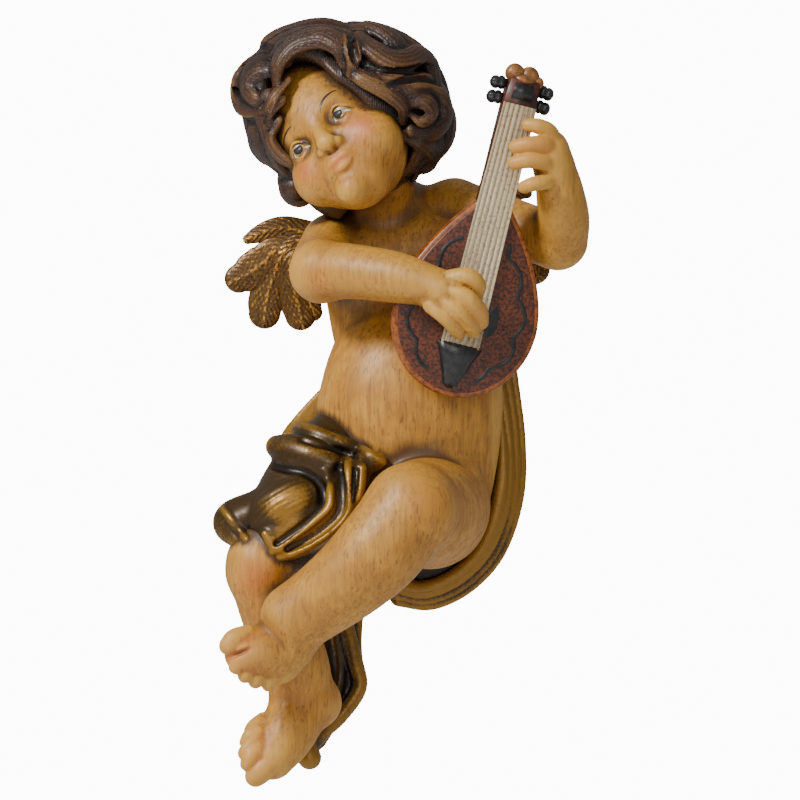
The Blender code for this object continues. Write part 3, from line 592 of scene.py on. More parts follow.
# %% Rows of the body
TORSO = [
    (-2, 4.5, 10.4, 14.5), (-0.5, -3, 11.2, 19), (1.5, -14, 12.1, 19.5), (3.8, -25, 15.2, 20.2),
    (3, -36, 16.1, 22.8), (2, -45.5, 15.8, 23.3), (3, -54, 16, 21),
]
SOFT_BALLS = [
    ((0.5, -36, 21.5), (16, 12, 17), 5), ((-7, -2.5, 19.5), (12, 8, 10), 5),
    ((8, 0, 19.5), (12, 8, 10), 5),
]
LIMBS = {
    "shoulders": [(-16, 1, 14.5, 7.5), (-2.5, 5.5, 13.5, 9), (13.7, 10.5, 14.5, 7)],
    "neck": [(-4, 9, 14.5, 10.3), (-5.5, 16, 19, 8.8), (-9, 25, 24, 9)],
    "right_upper_arm": [(-16.5, 1, 16, 8.5), (-19, -4, 27, 8.3), (-19.5, -5.5, 36, 7.7)],
    "right_forearm": [
        (-19.7, -5.3, 36, 7.7), (-12, -5.5, 42, 6.9), (-1.3, -7, 47.5, 6.4), (7, -9, 50.5, 5.2),
        (10, -10.3, 51.5, 5),
    ],
    "left_upper_arm": [(13.7, 10.5, 15, 7.6), (25, 7, 22, 7.2), (39, 2, 30, 6.9)],
    "left_forearm": [(40, 2.3, 30, 7), (40.7, 8, 36, 6.6), (39.7, 15, 41, 5.9), (38.7, 19.5, 43, 5.2)],
    "left_thigh": [(7, -55, 18, 14), (8, -64.5, 24, 14.6), (5.5, -65.5, 38, 13.2), (2.8, -64.5, 49, 11.2)],
    "left_calf": [
        (2.6, -64.8, 50, 11.2), (-4.5, -74, 51, 11.2), (-11.5, -81, 50, 10.3), (-19.5, -87.3, 47, 9.3),
        (-26, -91.7, 45, 8.8),
    ],
    "left_foot": [
        (-26, -93, 44, 7.8), (-29.5, -99, 43.5, 7.6), (-34.5, -100, 46, 6.8),
        (-38.5, -100.5, 48.5, 5.2)],
    "right_thigh": [(-11, -54, 18, 12), (-22.5, -66, 25, 11.5), (-34.5, -78, 31, 9)],
    "right_calf": [
        (-35.5, -81, 31, 7.4), (-30.8, -92, 29, 8.6), (-26, -104, 26, 8.3), (-24.8, -112.5, 24, 7.8)],
    "right_foot": [(-24.5, -113.5, 24, 7.6), (-28.5, -121, 28, 7.2), (-32, -126.7, 31, 5.8)],
}

# %% [markdown]
# ## Hands and feet
#
# Each finger and toe is a limb of three or four rows, blended only a third of a millimetre so that
# they stay apart, over a soft ball for the palm, the instep or the heel. Thin limbs then take away
# the cuts between them, as the carver's parting tool does.

# %% Rows of hands and feet
PADS = [
    ((-36.5, -81.5, 32), (6.4, 6.4, 6.8), 1.8), ((11, -11.2, 51.2), (6.2, 3.6, 5.2), 1.8),
    ((38.2, 22, 44), (4.6, 4.8, 7.4), 1.8), ((36.9, 23.6, 45.4), (4.2, 3.8, 6.2), 1.8),
    ((-31, -102.5, 42), (6.3, 6.5, 6), 1.8),
    ((-20, -113.3, 21.5), (5.2, 5, 5.4), 4), ((-3.8, 21.5, 20), (6.8, 8, 9), 3),
]
DIGITS = {
    "right_index": [
        (12.5, -7.5, 53.2, 2.4), (16.8, -6.9, 54.6, 2.3), (19.3, -9, 53.4, 2.1),
        (18.8, -11.4, 50.8, 1.9)],
    "right_middle": [
        (13.0, -10.5, 54.2, 2.4), (17.0, -12.4, 55.4, 2.2), (19.7, -15.6, 53.2, 2.1),
        (20.2, -18.2, 49.8, 1.9)],
    "right_ring": [
        (11.0, -13, 54, 2.4), (14.6, -15.6, 55.2, 2.1), (17.4, -18.6, 53, 2), (18.2, -20.4, 49.8, 1.8)],
    "right_little": [
        (7.8, -14, 53.4, 2.2), (11.0, -16.8, 54.2, 2), (13.8, -19.8, 52.2, 1.8), (14.6, -21, 49.6, 1.6)],
    "left_index": [(38.2, 26, 45, 2.3), (37.2, 29, 47, 2.2), (34.5, 30.5, 48.5, 2), (32, 30.8, 48, 1.8)],
    "left_middle": [(38.2, 24.5, 45.5, 2.4), (35.7, 26, 48.7, 2.2), (32, 26, 50, 2), (28.7, 25.4, 49, 1.8)],
    "left_ring": [
        (38.2, 21, 45.5, 2.4), (35.7, 21.7, 48.5, 2.2), (32, 22, 49.8, 2), (28.5, 21.4, 48.8, 1.8)],
    "left_little": [
        (38.2, 17.5, 45, 2.2), (36, 16.7, 47.8, 2), (33.2, 16.2, 48.8, 1.9), (30.7, 15.4, 48, 1.6)],
    "left_big_toe": [(-38, -96.5, 48.5, 3.2), (-41, -97, 50.5, 2.8), (-42.5, -98.5, 51, 2.5)],
    "left_second_toe": [(-38, -100.5, 48.5, 2.5), (-40, -102.3, 50.5, 2.2), (-40.7, -103.7, 50.5, 2)],
    "left_third_toe": [(-36, -102.5, 47.5, 2.4), (-37.8, -104.5, 49.3, 2.1), (-38.5, -106, 49.3, 1.9)],
    "left_fourth_toe": [(-33.7, -104, 46.5, 2.4), (-35.3, -106, 48, 2.1), (-35.9, -107.4, 48, 1.9)],
    "left_fifth_toe": [(-31.2, -105, 45.3, 2.4), (-32.3, -107, 46.6, 2.1), (-32.7, -108.3, 46.6, 1.8)],
    "right_big_toe": [(-31, -126, 32, 3.6), (-34, -129.5, 34, 3.2), (-36, -131.4, 34, 2.8)],
    "right_second_toe": [(-34.5, -123.5, 33, 2.6), (-37, -126.5, 35, 2.3), (-38, -128.3, 35, 2)],
    "right_third_toe": [(-35, -121, 32, 2.4), (-37.5, -124, 34, 2.1), (-38.7, -125.7, 34, 1.9)],
    "right_fourth_toe": [(-34.7, -119, 30, 2.3), (-37.3, -121.2, 32, 2), (-38.4, -123, 32, 1.8)],
    "right_fifth_toe": [(-34.2, -117.7, 28, 2.2), (-36.4, -119, 30, 1.9), (-37.4, -120.2, 30, 1.7)],
}
CUTS = [
    [(15, -9, 57.4, 0.3), (18.5, -9.8, 57.4, 0.6), (21, -12.2, 55.6, 0.6)],
    [(13, -12, 57.4, 0.3), (17, -14.4, 57.6, 0.55), (19.8, -17.2, 55.2, 0.55)],
    [(10.4, -14.4, 56.8, 0.3), (13.8, -16.8, 57, 0.5), (16.8, -19.9, 54.4, 0.5)],
    [(-36, -98.5, 53.5, 0.4), (-39, -100, 53.2, 0.7), (-42.2, -101.3, 52.4, 0.6)],
    [(-30, -124.2, 37, 0.4), (-33, -126, 37.8, 0.9), (-36.5, -128.4, 37.6, 0.6)],
]


def placed(rows):
    """Rows of across, up, out, radius as rows of x, y, z, radius."""
    return [place(*row) for row in rows]


def carve_body(block):
    """Trunk, soft balls, limbs, pads, digits and the cuts between them, each blended by its own width."""
    add_limb(block, placed(TORSO), 0, flat=0.72, faces=(0, 1, 0))
    for centre, sizes, width in SOFT_BALLS:
        add_ball(block, place(*centre), sizes, width=width)
    for name, rows in LIMBS.items():
        add_limb(block, placed(rows), 1.5 if "fore" in name or "foot" in name else 2.2)
    for centre, sizes, width in PADS:
        add_ball(block, place(*centre), sizes, width=width)
    for rows in DIGITS.values():
        add_limb(block, placed(rows), 0.3)
    for rows in CUTS:
        add_limb(block, placed(rows), 0.4, take=True)


print(len(LIMBS), "limbs,", len(DIGITS), "fingers and toes,", len(CUTS), "cuts")

# %% [markdown]
# ## The face
#
# A putto's face is a type, not a person: round skull, full cheeks, a small chin and a short nose.
# It is carved in the head's own frame. Balls give the masses, shallow hollows take the eyes, thin
# limbs are the lids, and the lips are two short swept rolls.

# %% Carving the head
HEAD_BALLS = [
    ((0, -3, 7), (17, 18.3, 16.6), 2), ((1.2, 2.5, -5), (15, 14.2, 15.2), 3),
    ((0, 5, 3), (13.5, 11.6, 12), 3),
    ((-7.6, 8.8, -9.6), (6.6, 6.6, 7.0), 3), ((9, 8.6, -10), (7.0, 6.8, 7.4), 3),
    ((0.8, 8.2, -16.6), (8.0, 7.4, 6.8), 3), ((-1.3, 13.0, -19.2), (3.7, 3.7, 3.5), 2.2),
    ((0.4, 12, -11.5), (6, 5.4, 5), 2.2), ((16.6, -2.5, -5), (1.9, 2.9, 3.8), 1),
]


def carve_head(block):
    """Masses, then for each side the eye hollow, ball and lids, then nose and lips."""
    for centre, sizes, width in HEAD_BALLS:
        add_ball(block, on_head(*centre), sizes, HEAD_AXES, width)
    for side, up in ((-1, -2.8), (1, -1.6)):
        add_ball(block, on_head(7.2 * side, 17, up), (4.4, 3, 3.2), HEAD_AXES, 1.8, take=True)
        add_ball(block, on_head(7 * side, 12.6, up - 0.2), (3.3, 2.9, 2.8), HEAD_AXES, 0.5)
        upper = [
            (4.2, 14.6, -0.2, 0.25), (5.6, 15.4, 1.7, 0.38), (7.6, 15.3, 2.1, 0.4), (10.4, 13.3, 0.6, 0.25)]
        lower = [(4.4, 14.6, -0.8, 0.2), (7, 15.1, -2.3, 0.25), (10, 13.4, -1.2, 0.2)]
        for lid in (upper, lower):
            add_limb(block, [on_head(a * side, f, up + u, r) for a, f, u, r in lid], 0.5)
    nose = [(0, 14.6, 2, 1.9), (0.2, 16, -2.5, 1.7), (0.8, 18.4, -6.6, 2.1)]
    add_limb(block, [on_head(*row) for row in nose], 1.6)
    add_ball(block, on_head(0.8, 18.4, -7.6), (2.5, 2.3, 2.1), HEAD_AXES, 0.8)
    for side in (-1, 1):
        add_ball(block, on_head(0.7 + 2.3 * side, 16.6, -8.2), (1.5, 1.9, 1.4), HEAD_AXES, 0.6)
        add_ball(block, on_head(0.8 + 1.2 * side, 18.2, -9.7), (0.7, 0.9, 0.7), HEAD_AXES, 0.5, take=True)
    upper = [
        (-3.2, 15.3, -12.9, 0.5), (-1.2, 16.4, -11.8, 0.95), (0.7, 16.6, -12.2, 0.85),
        (2.6, 16.4, -11.7, 0.95), (4.6, 15.3, -12.6, 0.5)]
    lower = [(-2.4, 15.5, -13.8, 0.55), (0.7, 16.4, -14.4, 1.2), (3.8, 15.5, -13.6, 0.55)]
    for lip in (upper, lower):
        add_limb(block, [on_head(*row) for row in lip], 0.6)


print(len(HEAD_BALLS), "masses of the head")

# %% [markdown]
# ## Planes that part the flesh
#
# The face wants cells of a third of a millimetre and the rest of the body does not, so the same
# rows are carved in two blocks, and a plane through the neck parts them. Both surfaces are the same
# there, so no joint shows. The back of the real figure is sawn flat for the wall, and another plane
# does that here.

# %% Neck plane and wall plane
BODY_CELL = 0.45
HEAD_CELL = 0.30
NECK_POINT = np.array(place(-7, 15.5, 20))
NECK_WAY = unit([-0.35, -0.3, 0.88])
HEAD_REACH = 38.0
WALL = np.array([0.0, 1.0, 0.0])


def spread_axes(block):
    """The three axes of a block, shaped so that they fill it when they meet."""
    return (block.axes[0][:, None, None], block.axes[1][None, :, None], block.axes[2][None, None, :])


def height_over(block, point, direction):
    """Height over a plane: the offset from its point times its direction, summed over the axes."""
    parts = zip(spread_axes(block), point, direction)
    return sum((axis - p) * d for axis, p, d in parts).astype(np.float32)


def head_region(block):
    """Below zero over the neck plane and within reach of the head, so that the raised hand stays out."""
    away = sum((axis - p) ** 2 for axis, p in zip(spread_axes(block), HEAD_CENTRE))
    return np.maximum(-height_over(block, NECK_POINT, NECK_WAY), np.sqrt(away) - HEAD_REACH)


def flatten_back(block, gap=0.0):
    """Takes away what lies behind a plane a gap in front of the wall."""
    np.maximum(block.field, height_over(block, -gap * WALL, WALL), out=block.field)


print("the neck plane leans", round(math.degrees(math.acos(NECK_WAY[2]))), "degrees")

# %% [markdown]
# ## Blush, and the flesh itself
#
# The rose on cheeks and knees is dabbed on with no edge, so each dab is a bell round a point, and
# their sum is an attribute of the mesh. Vertex paint would need a hand for every dab.

# %% Carve and mesh the flesh
BLUSHES = [
    ((-8.5, 14, -8.5), 4.2, 0.8), ((9, 14, -8.0), 4.6, 0.9), ((0.8, 17.5, -13.2), 2.6, 1.3),
    ((0.8, 20, -7.8), 1.8, 0.45), ((-1, 16, -19.5), 3.0, 0.35),
]
BODY_BLUSHES = [
    ((-36.5, -81, 38), 6, 0.7), ((8, -62, 60), 8, 0.35), ((36, 26, 50), 6, 0.5), ((30, 26, 50), 4, 0.6),
    ((30, 17, 49), 4, 0.6), ((18, -16, 53), 5, 0.6), ((-40, -101, 51), 7, 0.7), ((-36, -127, 35), 7, 0.6),
    ((-19, -114, 22), 6, 0.6), ((-20, -8, 42), 6, 0.4), ((42, 2, 30), 6, 0.3), ((-30, -106, 40), 5, 0.4),
]


def blush_of(points):
    """A sum of bells, strength times exp(-(distance / radius) squared), over the blushing places."""
    spots = [(on_head(*centre), radius, power) for centre, radius, power in BLUSHES]
    spots += [(place(*centre), radius, power) for centre, radius, power in BODY_BLUSHES]
    total = np.zeros(len(points))
    for centre, radius, power in spots:
        total += power * np.exp(-(((points - np.array(centre)) / radius) ** 2).sum(1))
    return total


FLESH_GAP = 0.3
HEAD_TRIANGLES = 120000
BODY_TRIANGLES = 190000


def flesh_piece(name, low, high, cell, side, triangles):
    """Carves the flesh in its own block, keeps the head (side 1) or the rest (side -1), and meshes it."""
    block = Block(low, high, cell)
    carve_body(block)
    carve_head(block)
    flatten_back(block, FLESH_GAP)
    uncut = Block(low, low, cell)
    uncut.low, uncut.field = block.low, block.field.copy()
    np.maximum(block.field, side * head_region(block), out=block.field)
    points, quads = surface_nets(block)
    hollow = 0.6 * hollow_of(uncut, points, 1.2) + 0.4 * hollow_of(uncut, points, 3.0)
    attributes = {"hollow": hollow, "blush": blush_of(points)}
    piece = make_piece(name, points, quads, "painted_figure", "putto_figure", FLESH, attributes)
    thin_out(piece, triangles)
    return piece, uncut


head, head_block = flesh_piece("head", place(-40, 2, 52), place(14, 52, 4), HEAD_CELL, 1, HEAD_TRIANGLES)
body, body_block = flesh_piece(
    "trunk_and_limbs", place(-46, -136, 64), place(50, 34, -1), BODY_CELL, -1, BODY_TRIANGLES)

# %% [markdown]
# ## Hair
#
# Big combed locks with deep cuts between them, swept from the parting to both sides, curling under
# at the temples and the nape. Particle hair would look like real hair, which this is not. Each front
# lock is a limb whose path is drawn over the head as seen from the front and dropped onto an egg
# round the skull, then pressed a little and grooved. Its ends sink in, so none stands off as a knob.
# Round masses fill out the curls, thin limbs cut between them, and behind, locks fall in waves.

# %% Rows of the locks: across, up, radius, and how far they stand off the egg
HAIR_CENTRE = np.array(place(-13.5, 35.5, 26))
HAIR_SIZES = np.array([25.0, 20.5, 21.6])
FRONT_LOCKS = {
    "crown_left": (0.1, [
        (-12, 57.2, 3.2), (-19.5, 56.7, 3.8), (-27, 55, 3.8), (-33, 52.8, 3), (-37, 50, 1.4)]),
    "crown_left_low": (0.7, [
        (-13, 54.5, 3), (-21, 54, 3.6), (-29, 51.7, 3.6), (-35, 48.5, 2.8), (-38.5, 45, 1.4)]),
    "forelock": (1.7, [
        (-13.7, 46.7, 1.6), (-15, 50, 3), (-19.5, 51.8, 3.8), (-25.5, 50.2, 3.8), (-29.7, 46.2, 2.8),
        (-31.7, 41.5, 1.4)]),
    "bulb": (1.0, [
        (-29.3, 48, 2.2), (-34.5, 48, 3.2), (-39, 43.7, 3.6), (-39.8, 38.7, 3.6), (-37.7, 34.5, 3.2),
        (-34, 34.2, 2.6), (-31.5, 37.5, 2.2)]),
    "bulb_heart": (2.2, [
        (-30.7, 44.7, 1.6), (-34, 44, 2.8), (-36.2, 40.5, 3), (-34.7, 37.5, 2), (-33.2, 39.5, 1.2)]),
    "hairline_left": (0.4, [(-29.5, 43, 1.2), (-31.7, 38, 1.8), (-33.2, 33.5, 1.8), (-33, 29.5, 1.4)]),
    "brow_lock": (1.6, [(-17, 53, 1.6), (-13.5, 51.2, 2.6), (-11.6, 47.5, 2.2), (-12.4, 44, 1)]),
    "hairline_right": (0.3, [
        (-12.5, 46, 2), (-8.5, 42.5, 2.6), (-3, 39.5, 2.8), (1, 36, 2.4), (2.6, 31.5, 1.4)]),
    "crown_right": (0, [(-12.5, 57.2, 3), (-6, 55.2, 3.8), (-0.7, 51.7, 3.6), (3, 49.5, 2.6)]),
    "wave_right": (1.8, [
        (-9.7, 54, 2.2), (-7.2, 49.5, 3.2), (-3, 46.4, 3.4), (1, 46.5, 3.2), (4.2, 48.2, 2.8),
        (7.7, 46.2, 2.4), (9.7, 42.5, 1.4)]),
    "wave_low": (1.0, [(-8, 44.5, 1.8), (-3, 42.5, 2.8), (2, 42.2, 2.8), (6.5, 42.6, 2.2), (9, 41, 1.2)]),
    "round_curl": (1.8, [
        (-1.2, 38.2, 1.8), (3.2, 40.4, 3), (8.4, 38.4, 3.2), (10, 33.7, 3.2), (7.6, 29.6, 2.8),
        (3.8, 29.4, 2)]),
    "round_curl_heart": (2.2, [
        (1.7, 36.7, 1.6), (5, 37, 2.6), (6.6, 34, 2.4), (4.5, 32, 1.6), (3.2, 33.5, 1)]),
    "side_outer": (0.1, [
        (9.5, 40, 2.4), (12, 35.5, 3.2), (12.4, 30, 3.6), (10.7, 25.2, 3.2), (7.7, 21.7, 2.4)]),
    "side_low": (0.6, [(2.8, 28, 1.6), (6, 26.5, 2.8), (8, 23.5, 3), (6.5, 20.7, 2.4), (3.8, 20.5, 1.4)]),
    "left_low": (0.4, [
        (-34.5, 33.5, 2), (-36.3, 29.7, 3), (-35.8, 25.7, 3.2), (-33, 22.7, 2.7), (-29.7, 21.5, 1.6)]),
    "left_low_inner": (0.8, [
        (-32, 32, 1.6), (-32.5, 28.2, 2.2), (-30.5, 24.5, 2.4), (-27.5, 21.7, 2), (-25, 19, 1.2)]),
    "jaw_curl": (0.3, [
        (-28.5, 20.5, 1.8), (-29.3, 17, 2.5), (-28.2, 13.5, 2.7), (-25.3, 12, 2.5), (-22.7, 13.2, 2),
        (-23.2, 15.7, 1.2)]),
    "jaw_heart": (1.0, [(-26.7, 19, 1.6), (-26.2, 16.2, 2), (-25, 14.4, 1.4)]),
    "under_jaw": (-1, [(-24.5, 19, 1.6), (-21.5, 15, 2.2), (-18.2, 12, 2.1), (-15.5, 10.2, 1.3)]),
}
HAIR_CUTS = {
    "parting": (1.6, [(-13, 55, 0.8), (-12.2, 50, 1.3), (-10.7, 45.7, 1.3), (-7, 43, 0.8)]),
    "under_wave": (1.6, [(-5.5, 44, 0.7), (0, 43.7, 1.1), (5, 44.6, 1.2), (9, 43.4, 0.8)]),
    "over_round_curl": (1.8, [(-3.5, 40.5, 0.7), (2.2, 41.9, 1.1), (8, 40.8, 1.2), (11.7, 37, 0.9)]),
    "in_round_curl": (3.0, [
        (1.5, 38.5, 0.6), (5.7, 38.9, 0.9), (8, 35.4, 0.9), (6.2, 31.3, 0.8), (3, 31.6, 0.6)]),
    "in_bulb": (3.4, [
        (-31.2, 46.7, 0.6), (-35.4, 45.7, 0.9), (-37.8, 41, 0.9), (-36.3, 36.3, 0.8),
        (-33.2, 36.5, 0.6)]),
    "over_bulb": (1.6, [(-30, 49.5, 0.8), (-35, 50, 1), (-40, 46.5, 0.9)]),
    "under_bulb": (1.4, [(-40, 34, 0.9), (-36.5, 32, 1.1), (-32.7, 33.2, 0.8)]),
}
HAIR_MASSES = [
    ((-33.8, 41, 30), (6.4, 7, 8)), ((-24, 49.5, 34), (8, 6, 4.5)), ((-5, 46, 36), (8.5, 7, 5)),
    ((5.5, 37, 28), (7, 8, 7)), ((6, 28, 25), (6.2, 8, 7)), ((-33, 28.5, 29), (4.6, 6, 6)),
    ((-26.5, 15.8, 27), (3, 4, 3.6)),
]


def on_egg(across, up, lift):
    """The egg's front at a place of the front view, from the ellipsoid's equation, out by the lift."""
    x, z = across, up - PAD_HEIGHT
    inside = 1 - ((x - HAIR_CENTRE[0]) / HAIR_SIZES[0]) ** 2 - ((z - HAIR_CENTRE[2]) / HAIR_SIZES[2]) ** 2
    point = np.array([x, HAIR_CENTRE[1] - HAIR_SIZES[1] * math.sqrt(max(0, inside)), z])
    return point + unit(point - HAIR_CENTRE) * lift


print(len(FRONT_LOCKS), "front locks,", len(HAIR_CUTS), "cuts,", len(HAIR_MASSES), "masses")

# %% Carve the hair
HAIR_CELL = 0.34
HAIR_TRIANGLES = 190000
LOCK_FLAT = 0.62
BACK_LOCKS = 13
BACK_STEPS = 13
FACE_OPENING = [
    ([(-25, 38.7, 60, 11), (-25, 38.7, 30, 8)], 1.5), ([(-5, 21.2, 60, 11), (-7, 21.2, 20, 10)], 1.5),
    ([(-3.5, 20.5, 60, 7), (-3.5, 20.5, 12, 6.5)], 1),
]


def back_lock(i):
    """Falls from 76 to -56 degrees, at an angle round the head that waves by 11 degrees on the way."""
    around = math.radians(-112 + 224 * i / (BACK_LOCKS - 1))
    fall = np.arange(BACK_STEPS) / (BACK_STEPS - 1)
    rise = np.radians(76 - 132 * fall)
    angle = around + math.radians(11) * np.sin(fall * 2.2 * np.pi + i * 1.3)
    ways = np.stack([np.sin(angle) * np.cos(rise), np.cos(angle) * np.cos(rise), np.sin(rise)], 1)
    radii = 3.1 * (0.5 + 0.5 * np.sin(np.pi * np.minimum(1, fall * 0.85 + 0.15)))
    return np.column_stack([HAIR_CENTRE + ways * (HAIR_SIZES - 0.6), radii])


def carve_hair(block):
    """The cap and masses, the opening of the face, then front locks, cuts and back locks."""
    add_ball(block, HAIR_CENTRE + (0, 1.2, 0.3), HAIR_SIZES - (2.6, 2, 2.6), width=0)
    add_ball(block, on_head(0, -8.5, -3), (17.5, 13.2, 16), HEAD_AXES, 4)
    for (across, up, out), (wide, deep, high) in HAIR_MASSES:
        add_ball(block, place(across, up, out), (wide, deep, high), width=3)
    add_ball(block, on_head(0, 18, -7), (14.5, 16, 20.5), HEAD_AXES, 1.5, take=True)
    for rows, width in FACE_OPENING:
        add_limb(block, placed(rows), width, take=True)
    add_ball(block, place(2, 5.5, 20), (17, 30, 11.5), width=1, take=True)
    for lift, rows in FRONT_LOCKS.values():
        ends = 2.2 * np.abs(np.linspace(-1, 1, len(rows))) ** 3
        path = [
            (*on_egg(across, up, lift - 0.5 - sunk), radius)
            for (across, up, radius), sunk in zip(rows, ends)]
        count = max(3, round(max(row[2] for row in rows) * 2 / 1.1))
        add_limb(block, path, 0.8, flat=LOCK_FLAT, faces=(HAIR_CENTRE,), grooves=(0.34, count))
    for lift, rows in HAIR_CUTS.values():
        path = [(*on_egg(across, up, lift), radius) for across, up, radius in rows]
        add_limb(block, path, 0.6, take=True)
    for i in range(BACK_LOCKS):
        add_limb(block, back_lock(i), 0.6, steps=2, flat=0.72, faces=(HAIR_CENTRE,), grooves=(0.36, 5))


def hair_piece():
    """Carves the hair, flattens its back, meshes it and gives each point its hollow and its comb."""
    block = Block(place(-46, 2, 52), place(20, 60, 0), HAIR_CELL)
    block.comb = np.zeros_like(block.field)
    carve_hair(block)
    flatten_back(block)
    points, quads = surface_nets(block)
    hollow = 0.65 * hollow_of(block, points, 0.7) + 0.35 * hollow_of(block, points, 2.0)
    cells = np.rint((points - block.low) / block.cell).astype(int)
    cells = np.clip(cells, 0, np.array(block.field.shape) - 1)
    attributes = {"hollow": hollow, "comb": block.comb[tuple(cells.T)]}
    piece = make_piece("hair", points, quads, "painted_figure", "putto_figure", HAIR, attributes)
    thin_out(piece, HAIR_TRIANGLES)
    return piece, block


hair, hair_block = hair_piece()

# %% [markdown]
# ## Brown and painted shade beside the hair and the cloth
#
# Where the painter's hair brown ends, a thin brown is brushed on over the skin, darkest at the
# edge, and the same darkening is painted shade where the skin meets the hair and the cloth. The
# block of the hair already knows how far away it is, so that distance at each point of the flesh
# becomes an attribute, and the flesh paint darkens by it.

# %% Shade
def shade_beside(piece, block, reach_mm, name="shade"):
    """One less the distance to another carving over the reach: 1 at its surface, 0 a reach away."""
    points = np.empty(3 * len(piece.data.vertices), np.float32)
    piece.data.vertices.foreach_get("co", points)
    points = points.reshape(-1, 3) / MM
    edge = block.low + block.cell * (np.array(block.field.shape) - 1)
    within = np.all((points > block.low) & (points < edge), axis=1)
    near = within * np.clip(1 - sample(block, block.field, points) / reach_mm, 0, 1)
    layer = piece.data.attributes.get(name)
    if layer is None:
        layer = piece.data.attributes.new(name, "FLOAT", "POINT")
    held = np.empty(len(near), np.float32)
    layer.data.foreach_get("value", held)
    layer.data.foreach_set("value", np.maximum(held, near).astype(np.float32))


# painted shade with the hairline brown: the flesh darkens near the hair
shade_beside(head, hair_block, 4)
shade_beside(body, hair_block, 1.5)
print("shade on", head.name, "and", body.name)

# %% [markdown]
# ## Drapery
#
# The cloth round the hips is carved from the same wood: thick rolls, sharp valleys, a sheet spread
# behind the legs, a gathered band down the right side and a tail between the feet. It never was
# cloth, so there is nothing to simulate: folds are limbs, and sheets are limbs pressed to the wall.
# The small folds are laid: their rows are only across, up and radius, and each point comes back
# from the front until it meets the mass of the hip. So a fold lies on the cloth wherever it runs.

# %% Rows of the drapery
HIP_CLOTH = [(-13.5, -49.5, 18, 11), (-20.5, -57, 23, 12), (-26, -65.5, 28, 11.6), (-28.3, -71, 30, 10.2)]
FOLDS = {
    "side_facet": [(-33, -66, 30, 6.2), (-38, -67.5, 29, 5.6), (-41.4, -68.6, 28.5, 5)],
    "side_tip": [
        (-35.5, -62.5, 29, 2.6), (-42.5, -65.2, 28, 2.6), (-44, -68.6, 28.5, 2.5),
        (-40.5, -72.3, 32, 2.5), (-35, -75, 35, 2)],
    "upper_roll": [
        (-30.7, -49.2, 25, 3), (-27, -50.2, 28.5, 4.2), (-22, -51.6, 31.5, 4.4),
        (-17.5, -53.5, 33, 3.2)],
    "skirt": [
        (-5.5, -52.7, 33.5, 2.2), (-10.5, -55, 33.5, 4), (-13, -61, 35, 5.2), (-17, -67.5, 36.2, 5.4),
        (-23.5, -72, 36.5, 4.8), (-29.5, -74.7, 36, 3.4)],
    "tail_edge": [
        (-14, -92, 13, 1.8), (-11.3, -103, 12.5, 2), (-10.3, -110, 12.5, 2), (-15, -117, 14.5, 1.9),
        (-20, -121.5, 16.5, 1.8)],
    "tail_inner": [(-16.5, -94, 12, 1.6), (-15, -106, 11, 1.7), (-16.5, -113, 12.5, 1.6)],
    "tail_roll": [(-20.5, -120.5, 15, 2.6), (-23.7, -124.5, 18, 3.4), (-22.7, -127.3, 19, 3)],
}
FLAP = [(-33.5, -67.5, 33.5, 4.8), (-30, -65, 34.8, 6), (-26.3, -62.9, 35, 6), (-23, -61.4, 34.6, 4.8)]
LAID_FOLDS = {
    "top_hem": [
        (-25.2, -44.7, 1.8), (-22, -45.7, 2.1), (-18.5, -47, 2.1), (-15, -48.2, 2), (-11.7, -49.2, 1.7),
        (-8.5, -50.6, 1.4), (-4.2, -53, 1.0)],
    "narrow_fold": [
        (-18.6, -55.2, 1.3), (-17.4, -59, 1.6), (-16.9, -62.5, 1.7), (-17.9, -65.2, 1.7),
        (-20.9, -68, 1.7), (-24.6, -70.9, 1.6), (-28.4, -73.5, 1.5), (-31.7, -75.4, 1.1)],
    "broad_fold": [
        (-12.9, -51.6, 1.4), (-12.6, -57, 1.6), (-12.7, -62.5, 1.7), (-13.6, -66, 1.7),
        (-17, -69.7, 1.7), (-21.5, -73, 1.6), (-26, -75.5, 1.5), (-29.8, -76.7, 1.1)],
    "inner_fold": [(-9.3, -54.6, 1.2), (-9.9, -58.5, 1.4), (-10.5, -62, 1.2)],
    "facet_ridge": [(-44.2, -64.8, 1.0), (-41.4, -68.2, 1.2), (-38.2, -72.3, 1.0)],
    "flap_hem": [(-33.5, -71, 1.2), (-31.5, -73.8, 1.4), (-28.5, -75, 1.2)],
}
LAID_CUTS = [
    [
        (-33.5, -53.4, 1.1), (-29, -54.4, 1.4), (-24.5, -55.2, 1.4), (-20.7, -57.4, 1.4),
        (-19.2, -60.8, 1.3), (-19.9, -64.2, 1.2), (-23.2, -67.8, 1.2), (-27.2, -70.8, 1.1),
        (-30.8, -73.4, 0.8)],
    [
        (-15.2, -54.5, 1.4), (-14.8, -60, 1.7), (-15.2, -65, 1.7), (-18.8, -68.9, 1.7),
        (-23.5, -72.2, 1.5), (-28, -74.6, 1.0)],
    [(-11.1, -55, 0.9), (-11.4, -59, 1.1), (-11.9, -63, 0.8)],
    [(-24.5, -47.3, 1.0), (-20, -48.6, 1.2), (-15, -50.2, 1.1), (-11, -51.8, 0.8)],
]
SHEETS = [
    [(5, -37, 6, 20.5), (7, -50, 6, 22.5), (7.5, -65, 7, 20), (7, -74, 8, 12.5)],
    [(-18, -36, 6, 2.6), (-24, -44, 8, 3.6), (-25.5, -50, 11, 5.5), (-21, -57, 12, 8)],
    [
        (-5, -82, 8, 5), (-13, -88.5, 8.5, 5), (-15.5, -98, 9, 6), (-15.5, -107, 10, 6),
        (-19.5, -116, 12, 5), (-22, -122, 14, 4)],
]
BAND = [
    (28.2, -31, 1.6), (30, -47.5, 1.8), (29, -62, 2.4), (24.5, -75.5, 2.4), (17, -84, 2.4),
    (8, -88.3, 2.4), (0, -87.5, 2.4),
]


